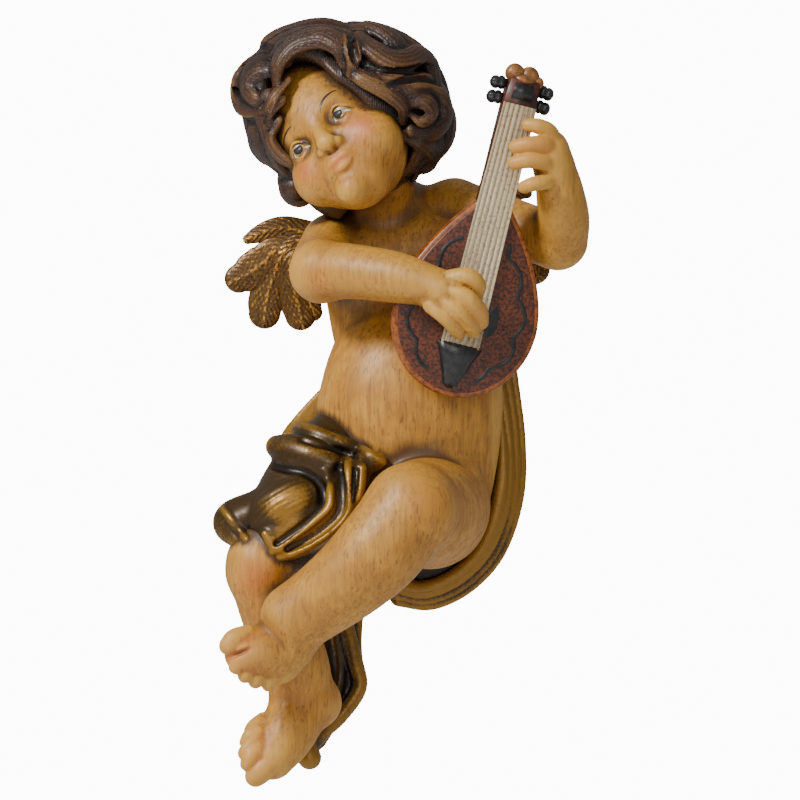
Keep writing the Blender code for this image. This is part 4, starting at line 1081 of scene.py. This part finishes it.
DRAPERY_CELL = 0.42
DRAPERY_TRIANGLES = 150000
BAND_FOLDS = 4
BAND_AXIS = place(5, -52, 46)
print(len(FOLDS), "folds,", len(LAID_FOLDS), "laid folds,", len(LAID_CUTS), "valleys")

# %% Carve the drapery
LAID_START = 47


def laid(block, field, rows, share):
    """Rows of across, up, radius, moved back from the front until they meet the field.

    Each step moves a point back by 0.8 of the distance it reads, and at the end it comes out by a
    share of its radius."""
    rows = smooth_path(rows, 3)
    points = np.array([place(across, up, LAID_START) for across, up, _ in rows])
    for _ in range(60):
        points[:, 1] += 0.8 * np.clip(sample(block, field, points), -0.3, 3)
    points[:, 1] = np.minimum(points[:, 1], np.median(points[:, 1]) + 9)
    points[1:-1, 1] = (points[:-2, 1] + 2 * points[1:-1, 1] + points[2:, 1]) / 4
    points[:, 1] -= share * rows[:, 2]
    return np.column_stack([points, rows[:, 2]])


def band_fold(i):
    """The band's rows moved in by 1.75 mm for each fold, less and less along it, and out by 1.2 mm."""
    rows = []
    for k, (across, up, radius) in enumerate(BAND):
        along = k / (len(BAND) - 1)
        shift = 1.75 * i
        across = across - shift * (1 - 0.7 * along)
        rows.append(place(across, up + 0.9 * shift * along, 10 + 1.2 * i, 1.1 * radius - 0.2 * i))
    return rows


def carve_drapery(block):
    """The hip mass, the folds, the sheets and the four folds of the band, each a limb."""
    add_limb(block, placed(HIP_CLOTH), 1)
    for rows in FOLDS.values():
        add_limb(block, placed(rows), 1.4)
    add_limb(block, placed(FLAP), 0.8, flat=0.9, faces=(0, -1, 0), grooves=(0.3, 9))
    base = np.minimum(block.field, sample_grid(body_block, block))
    folds = [laid(block, base, rows, -0.3) for rows in LAID_FOLDS.values()]
    for rows in folds:
        add_limb(block, rows, 0.7)
    for rows in [laid(block, base, rows, 0.15) for rows in LAID_CUTS]:
        add_limb(block, rows, 0.5, take=True)
    for rows in SHEETS:
        add_limb(block, placed(rows), 1.5, flat=0.3, faces=(0, 1, 0))
    for i in range(BAND_FOLDS):
        rows = band_fold(i)
        add_limb(block, rows, 0.35, flat=0.5, faces=(BAND_AXIS,))
        add_limb(block, np.array(rows) * (1, 1, 1, 0.72), 0.5)


def drapery_piece():
    """Carves the drapery in its own block and meshes it."""
    block = Block(place(-50, -136, 48), place(36, -28, -1), DRAPERY_CELL)
    carve_drapery(block)
    flatten_back(block)
    points, quads = surface_nets(block)
    hollow = 0.5 * hollow_of(block, points, 1.2) + 0.5 * hollow_of(block, points, 3.0)
    attributes = {"hollow": hollow}
    piece = make_piece("drapery", points, quads, "painted_figure", "putto_figure", OLD_GOLD, attributes)
    thin_out(piece, DRAPERY_TRIANGLES)
    return piece, block


drapery, drapery_block = drapery_piece()
# painted shade on the flesh beside the cloth
shade_beside(body, drapery_block, 2.2)

# %% [markdown]
# ## Surfaces of two parameters
#
# The wings and the mandolin can be made the plain way. `swept` carries a closed profile along a
# path: at parameter u along the path and v round it, the point is the path's point plus the
# profile's two coordinates times two directions square to the path. Both ends close in a fan.

# %% A profile carried along a path
def closed_tube(rings):
    """Quads between rings of points, and at each end the ring drawn in to its own middle."""
    count, sides = rings.shape[:2]
    first = rings[:1].mean(1, keepdims=True) + 0 * rings[:1]
    last = rings[-1:].mean(1, keepdims=True) + 0 * rings[-1:]
    rings = np.concatenate([first, rings, last])
    points = rings.reshape(-1, 3)
    i = np.arange(count + 1)[:, None]
    j = np.arange(sides)[None, :]
    here = i * sides + j
    beside = i * sides + (j + 1) % sides
    quads = np.stack([here, beside, beside + sides, here + sides], -1).reshape(-1, 4)
    return points, quads


def swept(path, normal, profile):
    """Rings: path point, plus profile a times the side direction, plus profile b times the normal."""
    heading = np.gradient(path, axis=0)
    heading /= np.linalg.norm(heading, axis=1, keepdims=True)
    normal = np.asarray(normal, float) - (heading @ normal)[:, None] * heading
    normal /= np.linalg.norm(normal, axis=1, keepdims=True)
    side = np.cross(heading, normal)
    return path[:, None] + profile[..., :1] * side[:, None] + profile[..., 1:] * normal[:, None]


def join(parts):
    """Several point and face arrays as one, with the face numbers moved on."""
    points = np.concatenate([p for p, _ in parts])
    starts = np.cumsum([0] + [len(p) for p, _ in parts[:-1]])
    return points, np.concatenate([f + s for (_, f), s in zip(parts, starts)])


def outward(piece):
    """Merges doubles and turns all faces of the piece outwards."""
    mesh = bmesh.new()
    mesh.from_mesh(piece.data)
    bmesh.ops.remove_doubles(mesh, verts=mesh.verts, dist=1e-6)
    bmesh.ops.recalc_face_normals(mesh, faces=mesh.faces)
    mesh.to_mesh(piece.data)
    mesh.free()
    return piece


circle = np.linspace(0, 2 * np.pi, 9)[:-1]
rod = np.stack([np.cos(circle), np.sin(circle)], -1) + np.zeros((3, 1, 1))
rod_points, rod_quads = closed_tube(swept(np.array([[0.0, 0, 0], [0, 0, 1], [0, 0, 2]]), (0, -1, 0), rod))
print("a rod of three rings of eight has", len(rod_points), "points and", len(rod_quads), "quads")

# %% [markdown]
# ## Wings
#
# A fan of thick feathers, with chiselled barbs that slant from each shaft. The profile is a
# pressed ellipse, and the barbs are a ripple across the front of it: real geometry, since they
# catch the light like cuts. The same ripple is the attribute that makes the ridges bright: glaze
# rubbed off and a painted highlight of the gold.
# The other wing is the mirror image, turned by the slope of the shoulders.

# %% Feathers and barbs
WING_ROOT = place(-17, 2, 4.2)
WING_SPAN = 27.0
FEATHERS = [
    (0.0, [
        (0.14, 0.02, 0.10), (-0.31, 0.115, 0.12), (-0.44, 0.148, 0.108), (-0.574, 0.13, 0.10),
        (-0.707, 0.078, 0.08), (-0.79, 0.04, 0.05)]),
    (0.3, [
        (0.14, 0, 0.09), (-0.459, -0.041, 0.13), (-0.64, -0.17, 0.17), (-0.78, -0.28, 0.175),
        (-0.875, -0.33, 0.135)]),
    (-0.1, [
        (0.12, -0.02, 0.09), (-0.42, -0.10, 0.12), (-0.56, -0.33, 0.16), (-0.62, -0.54, 0.17),
        (-0.635, -0.65, 0.15)]),
    (0.2, [
        (0.12, -0.03, 0.08), (-0.38, -0.122, 0.11), (-0.374, -0.356, 0.15), (-0.326, -0.563, 0.16),
        (-0.30, -0.67, 0.145)]),
    (-0.2, [(0.12, -0.06, 0.08), (-0.293, -0.30, 0.12), (-0.226, -0.52, 0.12), (-0.178, -0.644, 0.085)]),
    (0.9, [(-0.20, 0.06, 0.05), (-0.33, 0.02, 0.07), (-0.45, -0.08, 0.082), (-0.51, -0.19, 0.045)]),
    (1.1, [(-0.20, 0.0, 0.05), (-0.36, -0.08, 0.08), (-0.40, -0.17, 0.088), (-0.405, -0.235, 0.07)]),
]
FIGURE_MIDDLE = -0.5
LEFT_WING_SHIFT = -2.5
SHOULDER_SLOPE = math.radians(18)


def feather(rows, lift):
    """A pressed ellipse along the rows. Barbs: a sine of the distance along less the distance aside."""
    path = smooth_path(rows, 24)
    reach = path[-1, :2] - path[-2, :2]
    reach /= np.linalg.norm(reach)
    cap = np.linspace(0, 1, 14)[1:, None]
    end = path[-1, 2]
    tip = [path[-1, :2] + reach * end * np.sin(cap * np.pi / 2), end * np.cos(cap * np.pi / 2)]
    path = np.vstack([path, np.column_stack(tip)])
    radius = path[:, 2:] * WING_SPAN
    centre = np.array(WING_ROOT) + np.column_stack([path[:, 0], 0 * path[:, 0], path[:, 1]]) * WING_SPAN
    centre[:, 1] -= lift
    angle = np.linspace(0, 2 * np.pi, 49)[:-1][None]
    across = np.cos(angle)
    along = np.concatenate([[0], np.cumsum(np.linalg.norm(np.diff(centre, axis=0), axis=1))])[:, None]
    slant = 0.55 * along - 1.1 * radius * np.abs(across)
    ripple = 0.16 * np.sin(slant * 2 * np.pi / 1.25) * (1 - across ** 4) * np.clip(radius / 2, 0, 1)
    shaft = 0.22 * np.exp(-(across * radius / 0.35) ** 2)
    thick = 1.25 * np.clip(radius / 3, 0.3, 1)
    front = np.where(np.sin(angle) > 0, ripple + shaft, 0)
    profile = np.stack([radius * across, thick * np.sin(angle) + front], -1)
    tube = closed_tube(swept(centre, (0, -1, 0), profile))
    return tube, np.broadcast_to(front / 0.3, profile.shape[:2])


def wing_piece(name, mirrored):
    """The feathers as one piece, for the left wing mirrored, turned by the slope and shifted."""
    parts, ripples = [], []
    for lift, rows in FEATHERS:
        part, front = feather(rows, lift)
        parts.append(part)
        ripples.append(np.concatenate([0 * front[:1], front, 0 * front[:1]]).ravel())
    points, quads = join(parts)
    if mirrored:
        points = points - (FIGURE_MIDDLE, 0, -PAD_HEIGHT)
        x, z = -points[:, 0], points[:, 2]
        cos, sin = math.cos(SHOULDER_SLOPE), math.sin(SHOULDER_SLOPE)
        points = np.column_stack([x * cos - z * sin, points[:, 1], x * sin + z * cos])
        points = points + (FIGURE_MIDDLE + LEFT_WING_SHIFT, 0, -PAD_HEIGHT)
    # the ripple's fronts count as ridges: painted highlight with rubbed glaze in the bronze gold
    attributes = {"hollow": -0.25 * np.concatenate(ripples)}
    node = name.removesuffix("_feather")
    return outward(make_piece(name, points, quads, "gilded_wings", node, BRONZE_GOLD, attributes))


wings = [wing_piece("right_wing_feather", False), wing_piece("left_wing_feather", True)]
print("wing points", len(wings[0].data.vertices))

# %% [markdown]
# ## The mandolin's paints
#
# A sponged red-brown board, an orange rim, cream grooved strings, a red-brown scroll, and a dull
# black for the tailpiece, the pegs, the sound hole and the waving line. One function serves them
# all, because each is two tones of one colour, dabbed coarse or fine.

# %% Mandolin paints
def mottled(name, dark, light, scale, rough, low=0.35, high=0.65):
    """Dark below `low` of one noise and light above `high`, over a skin of much finer bumps."""
    paint = Paint(name, Roughness=rough, Coat_Weight=0.25, Coat_Roughness=0.25)
    spots = paint.noise(scale, 3, 0.65)
    colour = paint.mix(paint.spread(spots, low, high), dark, light)
    return paint.finish(colour, None, paint.noise(2200, 3), 0.03)


BOARD_PAINT = mottled("board_paint", (0.036, 0.010, 0.007), (0.17, 0.038, 0.009), 1300, 0.4, 0.38, 0.62)
RIM_PAINT = mottled("rim_paint", (0.16, 0.034, 0.004), (0.38, 0.105, 0.012), 700, 0.35)
NECK_PAINT = mottled("neck_paint", (0.030, 0.007, 0.004), (0.11, 0.022, 0.008), 300, 0.4)
STRING_PAINT = mottled("string_paint", (0.33, 0.245, 0.13), (0.62, 0.49, 0.30), 1400, 0.5, 0.30, 0.52)
BLACK_PAINT = mottled("black_paint", (0.006, 0.006, 0.007), (0.022, 0.021, 0.022), 700, 0.35)
SCROLL_PAINT = mottled("scroll_paint", (0.14, 0.045, 0.008), (0.34, 0.135, 0.028), 400, 0.4)
print("mandolin paints", [m.name for m in bpy.data.materials if m.name.endswith("_paint")])

# %% [markdown]
# ## The mandolin's body
#
# A teardrop board with an upright rim and a rounded bowl. One outline, a function of the angle
# round it, is shrunk and dropped ring by ring: first the flat board, then the rolled edge, the rim,
# and the bowl.

# %% Board, rim and bowl
BODY_BELOW = 20.2
BODY_ABOVE = 29.1
BODY_HALF = 18.6
NECK_HALF = 4.4


def teardrop(steps=60):
    """Right side from bottom to top, then mirrored: half an ellipse, then narrowing by t ** 1.75."""
    angle = np.linspace(-np.pi / 2, 0, steps)
    low = np.column_stack([BODY_HALF * np.cos(angle), BODY_BELOW * np.sin(angle)])
    t = np.linspace(0, 1, steps)[1:]
    high = np.column_stack([NECK_HALF + (BODY_HALF - NECK_HALF) * (1 - t ** 1.75), BODY_ABOVE * t])
    side = np.vstack([low, high])
    return np.vstack([side, (side * (-1, 1))[::-1][:-1]])


def inset(outline, distance):
    """The outline moved inward: each point moves along the inward normal of its neighbours' chord."""
    chord = np.roll(outline, -1, 0) - np.roll(outline, 1, 0)
    normal = np.column_stack([-chord[:, 1], chord[:, 0]])
    normal /= np.linalg.norm(normal, axis=1, keepdims=True)
    return outline + normal * distance


def on_mandolin(points):
    """Points given as across, out of the face, up the neck, carried to the figure."""
    return MANDOLIN_CENTRE + np.asarray(points, float) @ MANDOLIN_AXES


def stack(levels):
    """Rings of an outline at given depths, as one closed tube on the mandolin."""
    rings = np.stack([np.column_stack([o[:, 0], np.full(len(o), d), o[:, 1]]) for o, d in levels])
    points, quads = closed_tube(rings)
    return on_mandolin(points), quads


def mandolin_piece(name, part, material):
    return outward(make_piece(name, *part, "painted_mandolin", "mandolin", material))


OUTLINE = teardrop()
EDGE = [(0.9, 0.0), (0.45, -0.08), (0.15, -0.30), (0.0, -0.75)]
BOWL = [(OUTLINE * math.cos(a), -2.6 - 5.9 * math.sin(a)) for a in np.linspace(0, 1.2, 14)]
rim = mandolin_piece("mandolin_bowl", stack([(inset(OUTLINE, i), d) for i, d in EDGE] + BOWL), RIM_PAINT)
BOARD = [(1.5, 0.06), (1.25, 0.02), (1.2, -0.4)]
board = mandolin_piece("mandolin_board", stack([(inset(OUTLINE, i), d) for i, d in BOARD]), BOARD_PAINT)
print("mandolin body", np.round(np.array(rim.dimensions) / MM, 1))

# %% [markdown]
# ## Neck, strings and tailpiece
#
# The neck is a dark red bar. The strings are one raised cream strip with seven rounded ridges: a
# profile across the strip, carried up the neck. Seven thin cylinders would be the real instrument's
# way, but the carver cut them from one strip. The tailpiece is a black wedge with chamfered sides,
# and the head is the same bar as the neck with a sunken black panel.

# %% Straight parts
def strip(rows, across, heights):
    """A ruled surface: at each row of up, half width and base, the profile is as wide as the row says."""
    rings = []
    for up, half, base in rows:
        rings.append(np.column_stack([across * half, base + heights, np.full(len(across), up)]))
    points, quads = closed_tube(np.stack(rings))
    return on_mandolin(points), quads


def grooved(count, top, depth, low):
    """A row of rounded strings, the top less depth times one minus |sin| ** 0.7, and a flat underside."""
    across = np.linspace(-1, 1, count * 12 + 1)
    ridge = top - depth * (1 - np.abs(np.sin(across * count * np.pi / 2)) ** 0.7)
    return np.concatenate([across, [1, -1]]), np.concatenate([ridge, [low, low]])


NECK_ROWS = [(27.1, 4.4, 0), (54.8, 4.4, 0)]
STRING_ROWS = [(-7.2, 4.9, 0), (54.6, 4.2, 0)]
TAIL_ROWS = [(-17.9, 1.2, -0.9), (-16.9, 1.9, 0), (-10, 4.6, 0.1), (-7.5, 5.7, 0.05), (-6.7, 5.6, -0.6)]
HEAD_ROWS = [(54, 4.3, 0), (54.6, 4.4, 0), (60.6, 3.9, 0), (61.1, 3.4, -0.4)]
PANEL_ROWS = [(55.9, 2.7, 0.6), (59.9, 2.4, 0.6)]
bar = np.array([-1, -0.94, 0.94, 1, 1, 0.6, -0.6, -1])
wedge = np.array([-1, -0.72, 0.72, 1, 1, -1])
neck_heights = np.array([0.3, 0.6, 0.6, 0.3, -2.6, -4.4, -4.4, -2.6])
tail_heights = np.array([0.3, 1.7, 1.7, 0.3, -0.6, -0.6])
head_heights = np.array([0.2, 0.7, 0.7, 0.2, -3.6, -4.4, -4.4, -3.6])
panel_heights = np.array([0.1, 0.35, 0.35, 0.1, -0.3, -0.4, -0.4, -0.3])
straight = [
    mandolin_piece("mandolin_neck", strip(NECK_ROWS, bar, neck_heights), NECK_PAINT),
    mandolin_piece("mandolin_strings", strip(STRING_ROWS, *grooved(7, 1.2, 0.28, -0.3)), STRING_PAINT),
    mandolin_piece("mandolin_tailpiece", strip(TAIL_ROWS, wedge, tail_heights), BLACK_PAINT),
    mandolin_piece("mandolin_headstock", strip(HEAD_ROWS, bar, head_heights), NECK_PAINT),
    mandolin_piece("mandolin_panel", strip(PANEL_ROWS, bar, panel_heights), BLACK_PAINT),
]
print("straight parts", [piece.name for piece in straight])

# %% [markdown]
# ## Pegs and scroll
#
# Turned forms: a radius as a function of the height, spun round an axis. The pegs are short black
# spindles with a fluted head, and the scroll at the top is three lobes side by side on a foot.

# %% Spun parts
def spun(base, axis, profile, flutes=0, depth=0.0, sides=32):
    """Points base + height * axis + radius * (cos, sin), with the radius waved round by the flutes."""
    heights, radii = np.array(profile, float).T
    axes = triple(np.array([0.3, 0.5, 0.8]), np.array(axis, float))
    angle = np.linspace(0, 2 * np.pi, sides, endpoint=False)
    wave = 1 - depth * (0.5 + 0.5 * np.cos(flutes * angle)) if flutes else 1 + 0 * angle
    ring = np.cos(angle)[:, None] * axes[0] + np.sin(angle)[:, None] * axes[2]
    waved = ring * wave[:, None]
    rings = np.array(base) + heights[:, None, None] * axes[1] + radii[:, None, None] * waved[None]
    points, quads = closed_tube(rings)
    return on_mandolin(points), quads


peg = [
    (0, 1.1), (0.5, 1.1), (0.8, 1.7), (1.6, 1.85), (2.2, 1.5), (2.6, 1.75), (3.4, 1.7), (4.0, 1.2),
    (4.3, 0.5)]
peg_parts = [
    spun((side * 4.0, -2.2, up), (side, 0, -0.12), peg, 7, 0.14)
    for side in (-1, 1) for up in (55.4, 59.1)]
pegs = mandolin_piece("mandolin_pegs", join(peg_parts), BLACK_PAINT)
lobe = [(-2.2, 0.6), (-2.0, 1.7), (-1.2, 2.3), (0, 2.5), (1.2, 2.3), (2.0, 1.7), (2.2, 0.6)]
scroll_parts = [
    spun((-2.6, -2.2, 62.0), (0, 1, 0.1), lobe), spun((1.2, -2.2, 62.0), (0, 1, 0.1), lobe),
    spun((3.4, -2.2, 60.8), (0, 1, 0.1), [(h, 0.7 * r) for h, r in lobe]),
    spun((0, -2.2, 60.2), (0, 0, 1), [(0, 3.2), (0.8, 3.6), (1.8, 2.4), (2.6, 0.9)]),
]
scroll = mandolin_piece("mandolin_scroll", join(scroll_parts), SCROLL_PAINT)
print("pegs", len(peg_parts), "scroll parts", len(scroll_parts))

# %% [markdown]
# ## Painted lines
#
# The waving line, the sound hole, the brows, lash lines and pupils are strokes of a brush: a low
# lens of paint whose width swells and fades along a path. A painted texture would need an image, and
# a stroke as a solid has the crisp edge that a fine brush leaves. On the board the path lies flat.
# On the face each point of the stroke is pushed along the head's forward direction until the block
# of distances says that it has met the flesh.

# %% Brush strokes
LENS = np.linspace(0, 2 * np.pi, 17)[:-1]
LINE_HALF = 0.5
HOLE = [(6.6, 0.05, 4.5), (6.6, 0.05, 3), (6.5, 0.05, 0), (6.4, 0.05, -2.6), (6.4, 0.05, -3.6)]
HOLE_HALVES = [0.1, 1.3, 1.7, 1.3, 0.1]


def stroke(rows, normal, height):
    """A lens-shaped profile carried along rows of x, y, z, half width."""
    path = smooth_path(rows, 10)
    half = np.maximum(path[:, 3:], 0.02)
    profile = np.stack([half * np.cos(LENS), height * np.sin(LENS) + 0 * half], -1)
    return closed_tube(swept(path[:, :3], normal, profile))


def waving_line():
    """The inset outline, moved in and out by a wave round it, for each side of the strings."""
    parts = []
    around = inset(OUTLINE, 4.6)
    normal = inset(OUTLINE, 5.6) - around
    length = np.concatenate([[0], np.cumsum(np.linalg.norm(np.diff(around, axis=0), axis=1))])
    wave = 0.95 * (1 - 2 * np.abs(np.sin(length * np.pi / 10.5)))
    line = around + normal * wave[:, None]
    for keep in (line[:, 0] > 5.6, line[:, 0] < -5.6):
        side = line[keep]
        side = side[::3]
        points = on_mandolin(np.column_stack([side[:, 0], np.full(len(side), 0.07), side[:, 1]]))
        half = np.full(len(side), LINE_HALF)
        parts.append(stroke(np.column_stack([points, half]), MANDOLIN_AXES[1], 0.12))
    return parts


hole = stroke(np.column_stack([on_mandolin(HOLE), HOLE_HALVES]), MANDOLIN_AXES[1], 0.1)
lines = mandolin_piece("mandolin_lines", join([*waving_line(), hole]), BLACK_PAINT)


def on_face(rows, lift):
    """Marches each point along minus forward by the distance it reads, until it rests on the flesh."""
    rows = smooth_path(rows, 6)
    points = np.array([on_head(left, 24, up) for left, up, _ in rows])
    for _ in range(60):
        away = np.clip(sample(head_block, head_block.field, points), -0.2, 1)
        points = points - HEAD_AXES[1] * away[:, None] * 0.7
    return np.column_stack([points + HEAD_AXES[1] * lift, rows[:, 2]])


def face_stroke(rows, height, lift):
    """A stroke laid on the face, so high and lifted so far off the flesh."""
    return stroke(on_face(rows, lift), HEAD_AXES[1], height)


print("painted lines", len(lines.data.vertices), "points")

# %% [markdown]
# ### Eyes
#
# Off-white first, then two small glints of pure white beside the iris, a dark round pupil that
# looks to the viewer's right, a lash line along the upper lid and a thin arched brow. Each is a
# list of places in the head's frame, counted from the middle of that eye, so one list serves both.

# %% Painting the eyes
EYE_WHITE = mottled("eye_white", (0.34, 0.19, 0.055), (0.46, 0.29, 0.10), 500, 0.35)
PUPIL_PAINT = mottled("pupil_paint", (0.003, 0.002, 0.002), (0.008, 0.005, 0.004), 900, 0.75)
GLINT_PAINT = mottled("glint_paint", (0.60, 0.52, 0.38), (0.80, 0.74, 0.60), 900, 0.3)
LASH_PAINT = mottled("lash_paint", (0.02, 0.010, 0.007), (0.05, 0.025, 0.015), 900, 0.4)
WHITE = [(-2.5, -0.3, 0.1), (-1.2, -0.1, 1.1), (0, 0, 1.4), (1.2, -0.1, 1.1), (2.5, -0.3, 0.1)]
GLINT_BESIDE = [(1.5, -0.5, 0.06), (2.3, -0.7, 0.3), (3.1, -1.1, 0.06)]
GLINT_BELOW = [(-1.5, -0.5, 0.05), (-1.5, -1.1, 0.22), (-1.0, -1.6, 0.05)]
PUPIL = [(0, 1.35, 0.1), (0, 0.95, 0.9), (0, 0, 1.25), (0, -0.95, 0.9), (0, -1.35, 0.1)]
LASH = [
    (-2.1, -1.4, 0.06), (-1.8, -0.5, 0.12), (-1.4, 0.4, 0.2), (-0.5, 1.15, 0.26), (0.7, 1.3, 0.26),
    (2.2, 0.6, 0.2), (3.6, -0.6, 0.06)]
BROW = [(-3.6, 3.2, 0.08), (-2.6, 4.5, 0.26), (-1.0, 5.6, 0.3), (1.0, 6.1, 0.2), (2.2, 6.0, 0.06)]
EYE_ASIDE = 7.1
whites, darks, lashes, glints = [], [], [], []


def moved(rows, left, up):
    """Rows of left, up, half width, counted from a point of the face."""
    return [(left + row[0], up + row[1], row[2]) for row in rows]


for side, up, gaze in ((-1, -2.8, 0.2), (1, -1.6, -0.5)):
    middle = EYE_ASIDE * side
    eye, level = middle + gaze, up + 0.1
    whites.append(face_stroke(moved(WHITE, middle, up), 0.05, 0.03))
    glints.append(face_stroke(moved(GLINT_BESIDE, eye, level), 0.08, 0.05))
    glints.append(face_stroke(moved(GLINT_BELOW, eye, level), 0.08, 0.05))
    darks.append(face_stroke(moved(PUPIL, eye, level), 0.18, 0.08))
    lashes.append(face_stroke(moved(LASH, eye, level), 0.10, 0.06))
    lashes.append(face_stroke(moved(BROW, middle, up), 0.05, 0.02))


def face_piece(name, parts, material):
    return outward(make_piece(name, *join(parts), "painted_figure", "putto_figure", material))


painted = [
    face_piece("eye_whites", whites, EYE_WHITE), face_piece("pupils", darks, PUPIL_PAINT),
    face_piece("eye_glints", glints, GLINT_PAINT), face_piece("lash_and_brow_lines", lashes, LASH_PAINT),
]
print("painted on the face", [piece.name for piece in painted])

# %% [markdown]
# ## Floor, light and camera
#
# The figure stands before a bare white ground, seen from straight in front with a long lens. So the
# camera is three metres away and sees a fifth of a metre, a pale world gives soft light from all
# round, a lamp comes from the upper left, and a weak one from the front opens the shadows. A glowing
# sheet far behind makes the ground white without lighting the figure much, and a pale floor lies
# below, out of the frame.

# %% Lamps and flat sheets
def link_object(name, data):
    """An object for the data, put in the scene."""
    thing = bpy.data.objects.new(name, data)
    bpy.context.scene.collection.objects.link(thing)
    return thing


def lamp(name, location, target, size, power):
    """A square area lamp that looks at the target."""
    light = bpy.data.lights.new(name, "AREA")
    light.size = size
    light.energy = power
    thing = link_object(name, light)
    thing.location = location
    aim = np.array(target) - np.array(location)
    thing.rotation_euler = (
        math.atan2(math.hypot(aim[0], aim[1]), -aim[2]), 0, math.atan2(aim[1], aim[0]) - math.pi / 2)


def sheet(name, corners, material_name, sockets):
    """One flat face through the corners, with a plain material."""
    mesh = bpy.data.meshes.new(name)
    mesh.from_pydata(corners, [], [list(range(len(corners)))])
    material = bpy.data.materials.new(material_name)
    material.use_nodes = True
    for key, value in sockets.items():
        material.node_tree.nodes["Principled BSDF"].inputs[key].default_value = value
    mesh.materials.append(material)
    return link_object(name, mesh)


# %% Stage
FLOOR_RADIUS = 0.5
FLOOR_HEIGHT = -0.16
BACK_HALF = 0.45
BACK_AWAY = 4.6


def make_stage():
    """A round floor, a glowing backdrop, the world, two lamps and the camera."""
    angle = np.linspace(0, 2 * np.pi, 65)[:-1]
    ring = np.column_stack([
        FLOOR_RADIUS * np.cos(angle), FLOOR_RADIUS * np.sin(angle), FLOOR_HEIGHT + 0 * angle])
    pale = {"Base Color": (0.8, 0.79, 0.77, 1), "Roughness": 0.8}
    floor = sheet("floor", ring.tolist(), "floor_pale", pale)
    corners = [(BACK_HALF * x, BACK_AWAY, BACK_HALF * z) for x, z in ((-1, -1), (1, -1), (1, 1), (-1, 1))]
    glow = {"Emission Color": (1, 1, 1, 1), "Emission Strength": 12}
    backdrop = sheet("backdrop", corners, "backdrop_white", glow)
    world = bpy.data.worlds.new("world")
    world.use_nodes = True
    world.node_tree.nodes["Background"].inputs["Color"].default_value = (1, 1, 1, 1)
    world.node_tree.nodes["Background"].inputs["Strength"].default_value = 0.32
    bpy.context.scene.world = world
    middle = (0, -0.03, -0.03)
    lamp("key", (-0.75, -0.75, 0.7), middle, 0.25, 17)
    lamp("front", (0.1, -1.2, 0.25), middle, 0.5, 2.5)
    camera = bpy.data.cameras.new("camera")
    camera.lens = 540
    camera.sensor_width = 36
    camera.clip_start = 0.1
    camera.clip_end = 50
    thing = link_object("camera", camera)
    thing.location = (0, -3.03, -0.0275)
    thing.rotation_euler = (math.pi / 2, 0, 0)
    bpy.context.scene.camera = thing


make_stage()
print("lamps", [light.name for light in bpy.data.lights])

# %% [markdown]
# ## Update the view layer
#
# Last, the view layer is updated, so that every piece stands where it was put. The dressed
# figure must stay in the box of the measured solids, give or take a fold.

# %% Finish
bpy.context.view_layer.update()
